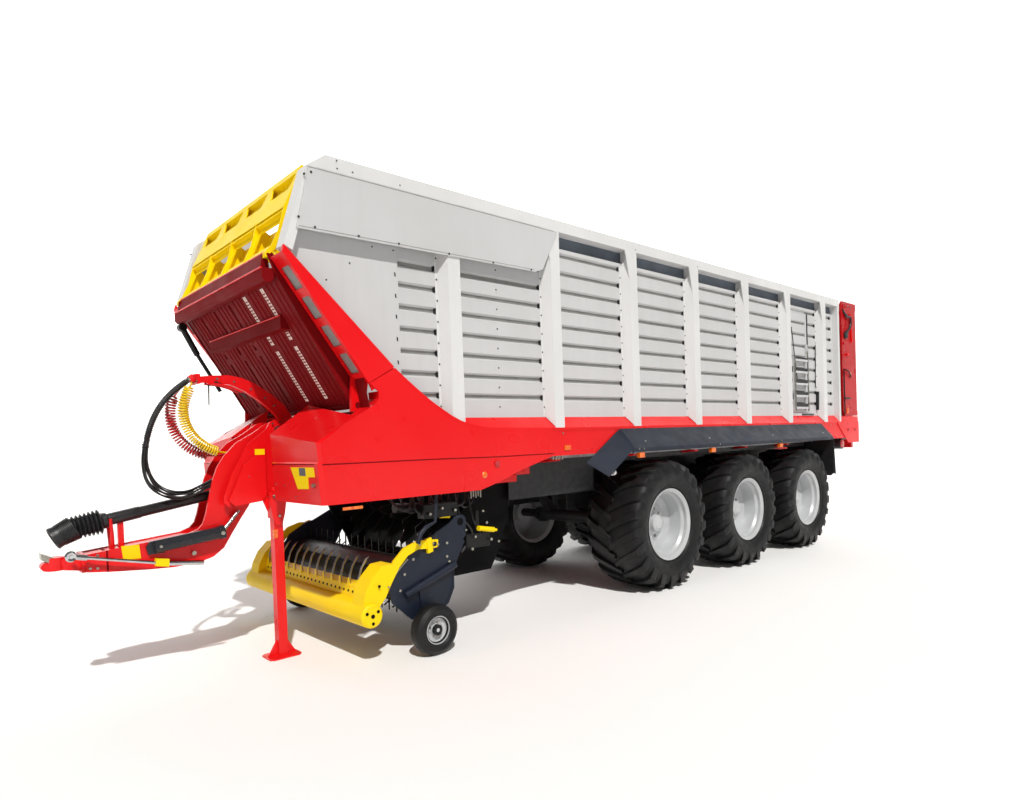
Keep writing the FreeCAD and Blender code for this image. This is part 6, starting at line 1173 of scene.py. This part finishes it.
# %% Mudguards
shade_sheets = [block((-4.300, 0.500, 0.930), (0.900, 0.508, 1.596)),
          block((-4.300, 1.000, 1.502), (0.800, 1.006, 1.596)),
          block((0.950, 0.955, 1.180), (2.230, 0.963, 1.596)),
          prism([(-4.352, 0.700, 1.610), (-4.352, 0.700, 1.020), (-4.352, 1.400, 1.018), (-4.352, 1.446, 1.062),
                 (-4.352, 1.452, 1.620)], -0.008)]
piece("shade_aprons", on_both_sides(shade_sheets), bellows_rubber, "chassis")
GUARD_EDGE = 1.452
screws = [bolt((x, GUARD_EDGE, z), radius=0.009, height=0.005, sides=10) for x, z in (
    (0.755, 1.625), (0.669, 1.625), (-0.900, 1.625), (-2.560, 1.625), (-4.180, 1.625))]
screws += [bolt((x, y, z), out=(0, 0.72, 0.69), radius=0.011, height=0.006, sides=12)
           for x in (0.560, -0.760, -2.420, -4.100) for y, z in ((1.300, 1.801), (1.390, 1.703))]
piece("guard_screws", on_both_sides(screws), zinc_plated, "chassis", smooth=35)
flap_marks = [bolt((1.150, 1.400, 1.392), out=(0.62, 0.35, 0.70), radius=0.036, height=0.012, sides=28),
              bolt((1.270, 1.300, 1.455), out=(0.62, 0.35, 0.70), radius=0.014, height=0.010, sides=16)]
piece("flap_reflectors", on_both_sides(flap_marks), coated_sheet, "chassis", smooth=35)
side_lamps = [block((x - 0.045, 1.405, 1.530), (x + 0.045, 1.452, 1.585)) for x in (0.700, -0.760, -2.560)]
piece("side_lamps", on_both_sides(side_lamps), amber_acrylic, "chassis", bevel=0.004)
lamp_arms = [tube([(x, 1.430, 1.640), (x, 1.430, 1.580)], 0.006, 6) for x in (0.700, -0.760, -2.560)]
lamp_arms += [tube([(1.880 - 0.045 * index, 1.240, 1.600), (1.880 - 0.045 * index, 1.240, 1.560)], 0.012, 8)
              for index in range(4)]
piece("lamp_arms", on_both_sides(lamp_arms), zinc_plated, "chassis", smooth=35)

# %% [markdown]
# ## Door ladder and rear wings
# The door in the last full bay has a ladder with rubber treads, and latches on its front edge. Hoses for the
# tailgate's locks run down the wing, past a round lamp housing, bolts and small reflectors.

# %% Ladder hardware
treads = [block((-4.030, PANEL_FACE + 0.010, z - 0.022), (-3.640, PANEL_FACE + 0.040, z + 0.022))
          for z in (2.151, 2.332, 2.523, 2.704, 2.870)]
treads += [block((-3.560, PANEL_FACE, z - 0.045), (-3.500, PANEL_FACE + 0.028, z + 0.045))
           for z in (3.304, 2.282, 2.701)]
treads += [tube([(x, PANEL_FACE + out, z) for x, out, z in line], radius, sides) for line, radius, sides in (
    (((-3.483, 0.004, 3.540), (-3.500, 0.020, 3.500), (-3.483, 0.004, 3.440)), 0.010, 8),
    (((-3.560, 0.022, 3.300), (-3.620, 0.030, 2.900), (-3.700, 0.030, 2.520)), 0.007, 6))]
piece("ladder_treads", treads, bellows_rubber, "access_door", smooth=35)
door_parts = [tube([(-4.050, PANEL_FACE + 0.045, z) for z in (2.060, 3.000)], 0.010, 8),
              tube([(-3.600, PANEL_FACE + 0.045, z) for z in (2.060, 2.900)], 0.010, 8)]
piece("ladder_stiles", door_parts, zinc_plated, "access_door", smooth=35)
rear_parts = [block((-4.145, PANEL_FACE, 2.060), (-4.128, PANEL_FACE + 0.012, 3.600)),
              tube([(-4.444, PANEL_FACE + 0.022, 2.372), (-4.427, PANEL_FACE + 0.022, 2.077)], 0.024, 12),
              tube([(-4.412, PANEL_FACE + 0.016, 3.131), (-4.385, PANEL_FACE + 0.016, 2.435)], 0.007, 8),
              block((-4.300, PANEL_FACE, 1.995), (-3.900, PANEL_FACE + 0.020, 2.015))]
piece("door_frame_parts", rear_parts, bellows_rubber, "chassis", smooth=35)
door_plate = [block((-4.600, PANEL_FACE - 0.001, 2.085), (-4.520, PANEL_FACE + 0.002, 2.160))]
piece("door_plate", door_plate, yellow_enamel, "chassis")

# %% Rear wings
WING_FACE = 1.257
wing_hoses = []
for index in range(4):
    line = smooth_line([(-5.330 - 0.03 * index, WING_FACE + 0.002, 3.800 - 0.02 * index),
                        (-5.420 - 0.05 * index, WING_FACE + 0.030, 3.640),
                        (-5.560 - 0.02 * index, WING_FACE + 0.034, 3.700),
                        (-5.620, WING_FACE + 0.030, 3.560 - 0.03 * index),
                        (-5.480 + 0.03 * index, WING_FACE + 0.026, 3.420),
                        (-5.430 + 0.02 * index, WING_FACE + 0.004, 3.330)])
    wing_hoses.append(tube(line, 0.012, 8))
wing_hoses += [tube([(-5.315, WING_FACE + 0.012, 2.780), (-5.320, WING_FACE + 0.012, 1.995)], 0.010, 8),
               tube([(-5.400, WING_FACE + 0.004, 2.770), (-5.470, WING_FACE + 0.030, 2.740),
                     (-5.540, WING_FACE + 0.030, 2.690), (-5.620, WING_FACE + 0.004, 2.640)], 0.011, 8),
               block((-5.560, WING_FACE - 0.002, 2.262), (-5.350, WING_FACE + 0.020, 2.290)),
               turned([(0.004, -0.004), (0.062, -0.004), (0.066, 0.020), (0.050, 0.034), (0.004, 0.036)],
                      (-5.430, WING_FACE, 3.357), 28)]
piece("wing_hoses", on_both_sides(wing_hoses), hose_rubber, "tailgate", smooth=35)
wing_lamps = [turned([(0.004, -0.003), (0.032, -0.003), (0.032, 0.006), (0.004, 0.010)],
                     (-5.618, WING_FACE, 2.702), 24),
              block((-5.495, WING_FACE - 0.002, 2.020), (-5.430, WING_FACE + 0.008, 2.105))]
piece("wing_reflectors", on_both_sides(wing_lamps), amber_acrylic, "tailgate", smooth=35)
wing_bolts = [bolt((x, WING_FACE - 0.001, z), radius=0.012, height=0.008) for x, z in (
    (-5.380, 3.100), (-5.380, 2.900), (-5.850, 3.600), (-5.850, 3.000), (-5.850, 2.400), (-5.700, 3.860),
    (-5.560, 3.860))]
piece("wing_bolts", on_both_sides(wing_bolts), zinc_plated, "tailgate", smooth=35)
wing_rods = [tube([(-5.650, WING_FACE + 0.008, 3.740), (-5.700, WING_FACE + 0.008, 3.250)], 0.014, 10),
             block((-5.530, WING_FACE - 0.002, 3.010), (-5.450, WING_FACE + 0.026, 3.045))]
piece("wing_rods", on_both_sides(wing_rods), red_enamel, "tailgate", smooth=35)
rear_lamp = [tube([(-5.250, 1.120, 1.500), (-5.250, 1.235, 1.500)], 0.088, 28),
             block((-5.330, 1.130, 1.500), (-5.170, 1.200, 1.600))]
piece("rear_lamp_housings", on_both_sides(rear_lamp), bellows_rubber, "chassis", smooth=35)
rear_glass = [turned([(0.004, -0.002), (0.070, -0.002), (0.066, 0.008), (0.004, 0.012)], (-5.250, 1.235, 1.500), 28)]
piece("rear_lamp_glasses", on_both_sides(rear_glass), red_acrylic, "chassis", smooth=35)
sill_bolts = [bolt((x, POST_FACE, z), radius=0.010, height=0.006, sides=10) for x, z in (
    (-4.751, 1.818), (-4.743, 1.675), (-5.154, 1.632), (1.737, 1.819))]
piece("sill_bolts", on_both_sides(sill_bolts), zinc_plated, "chassis", smooth=35)
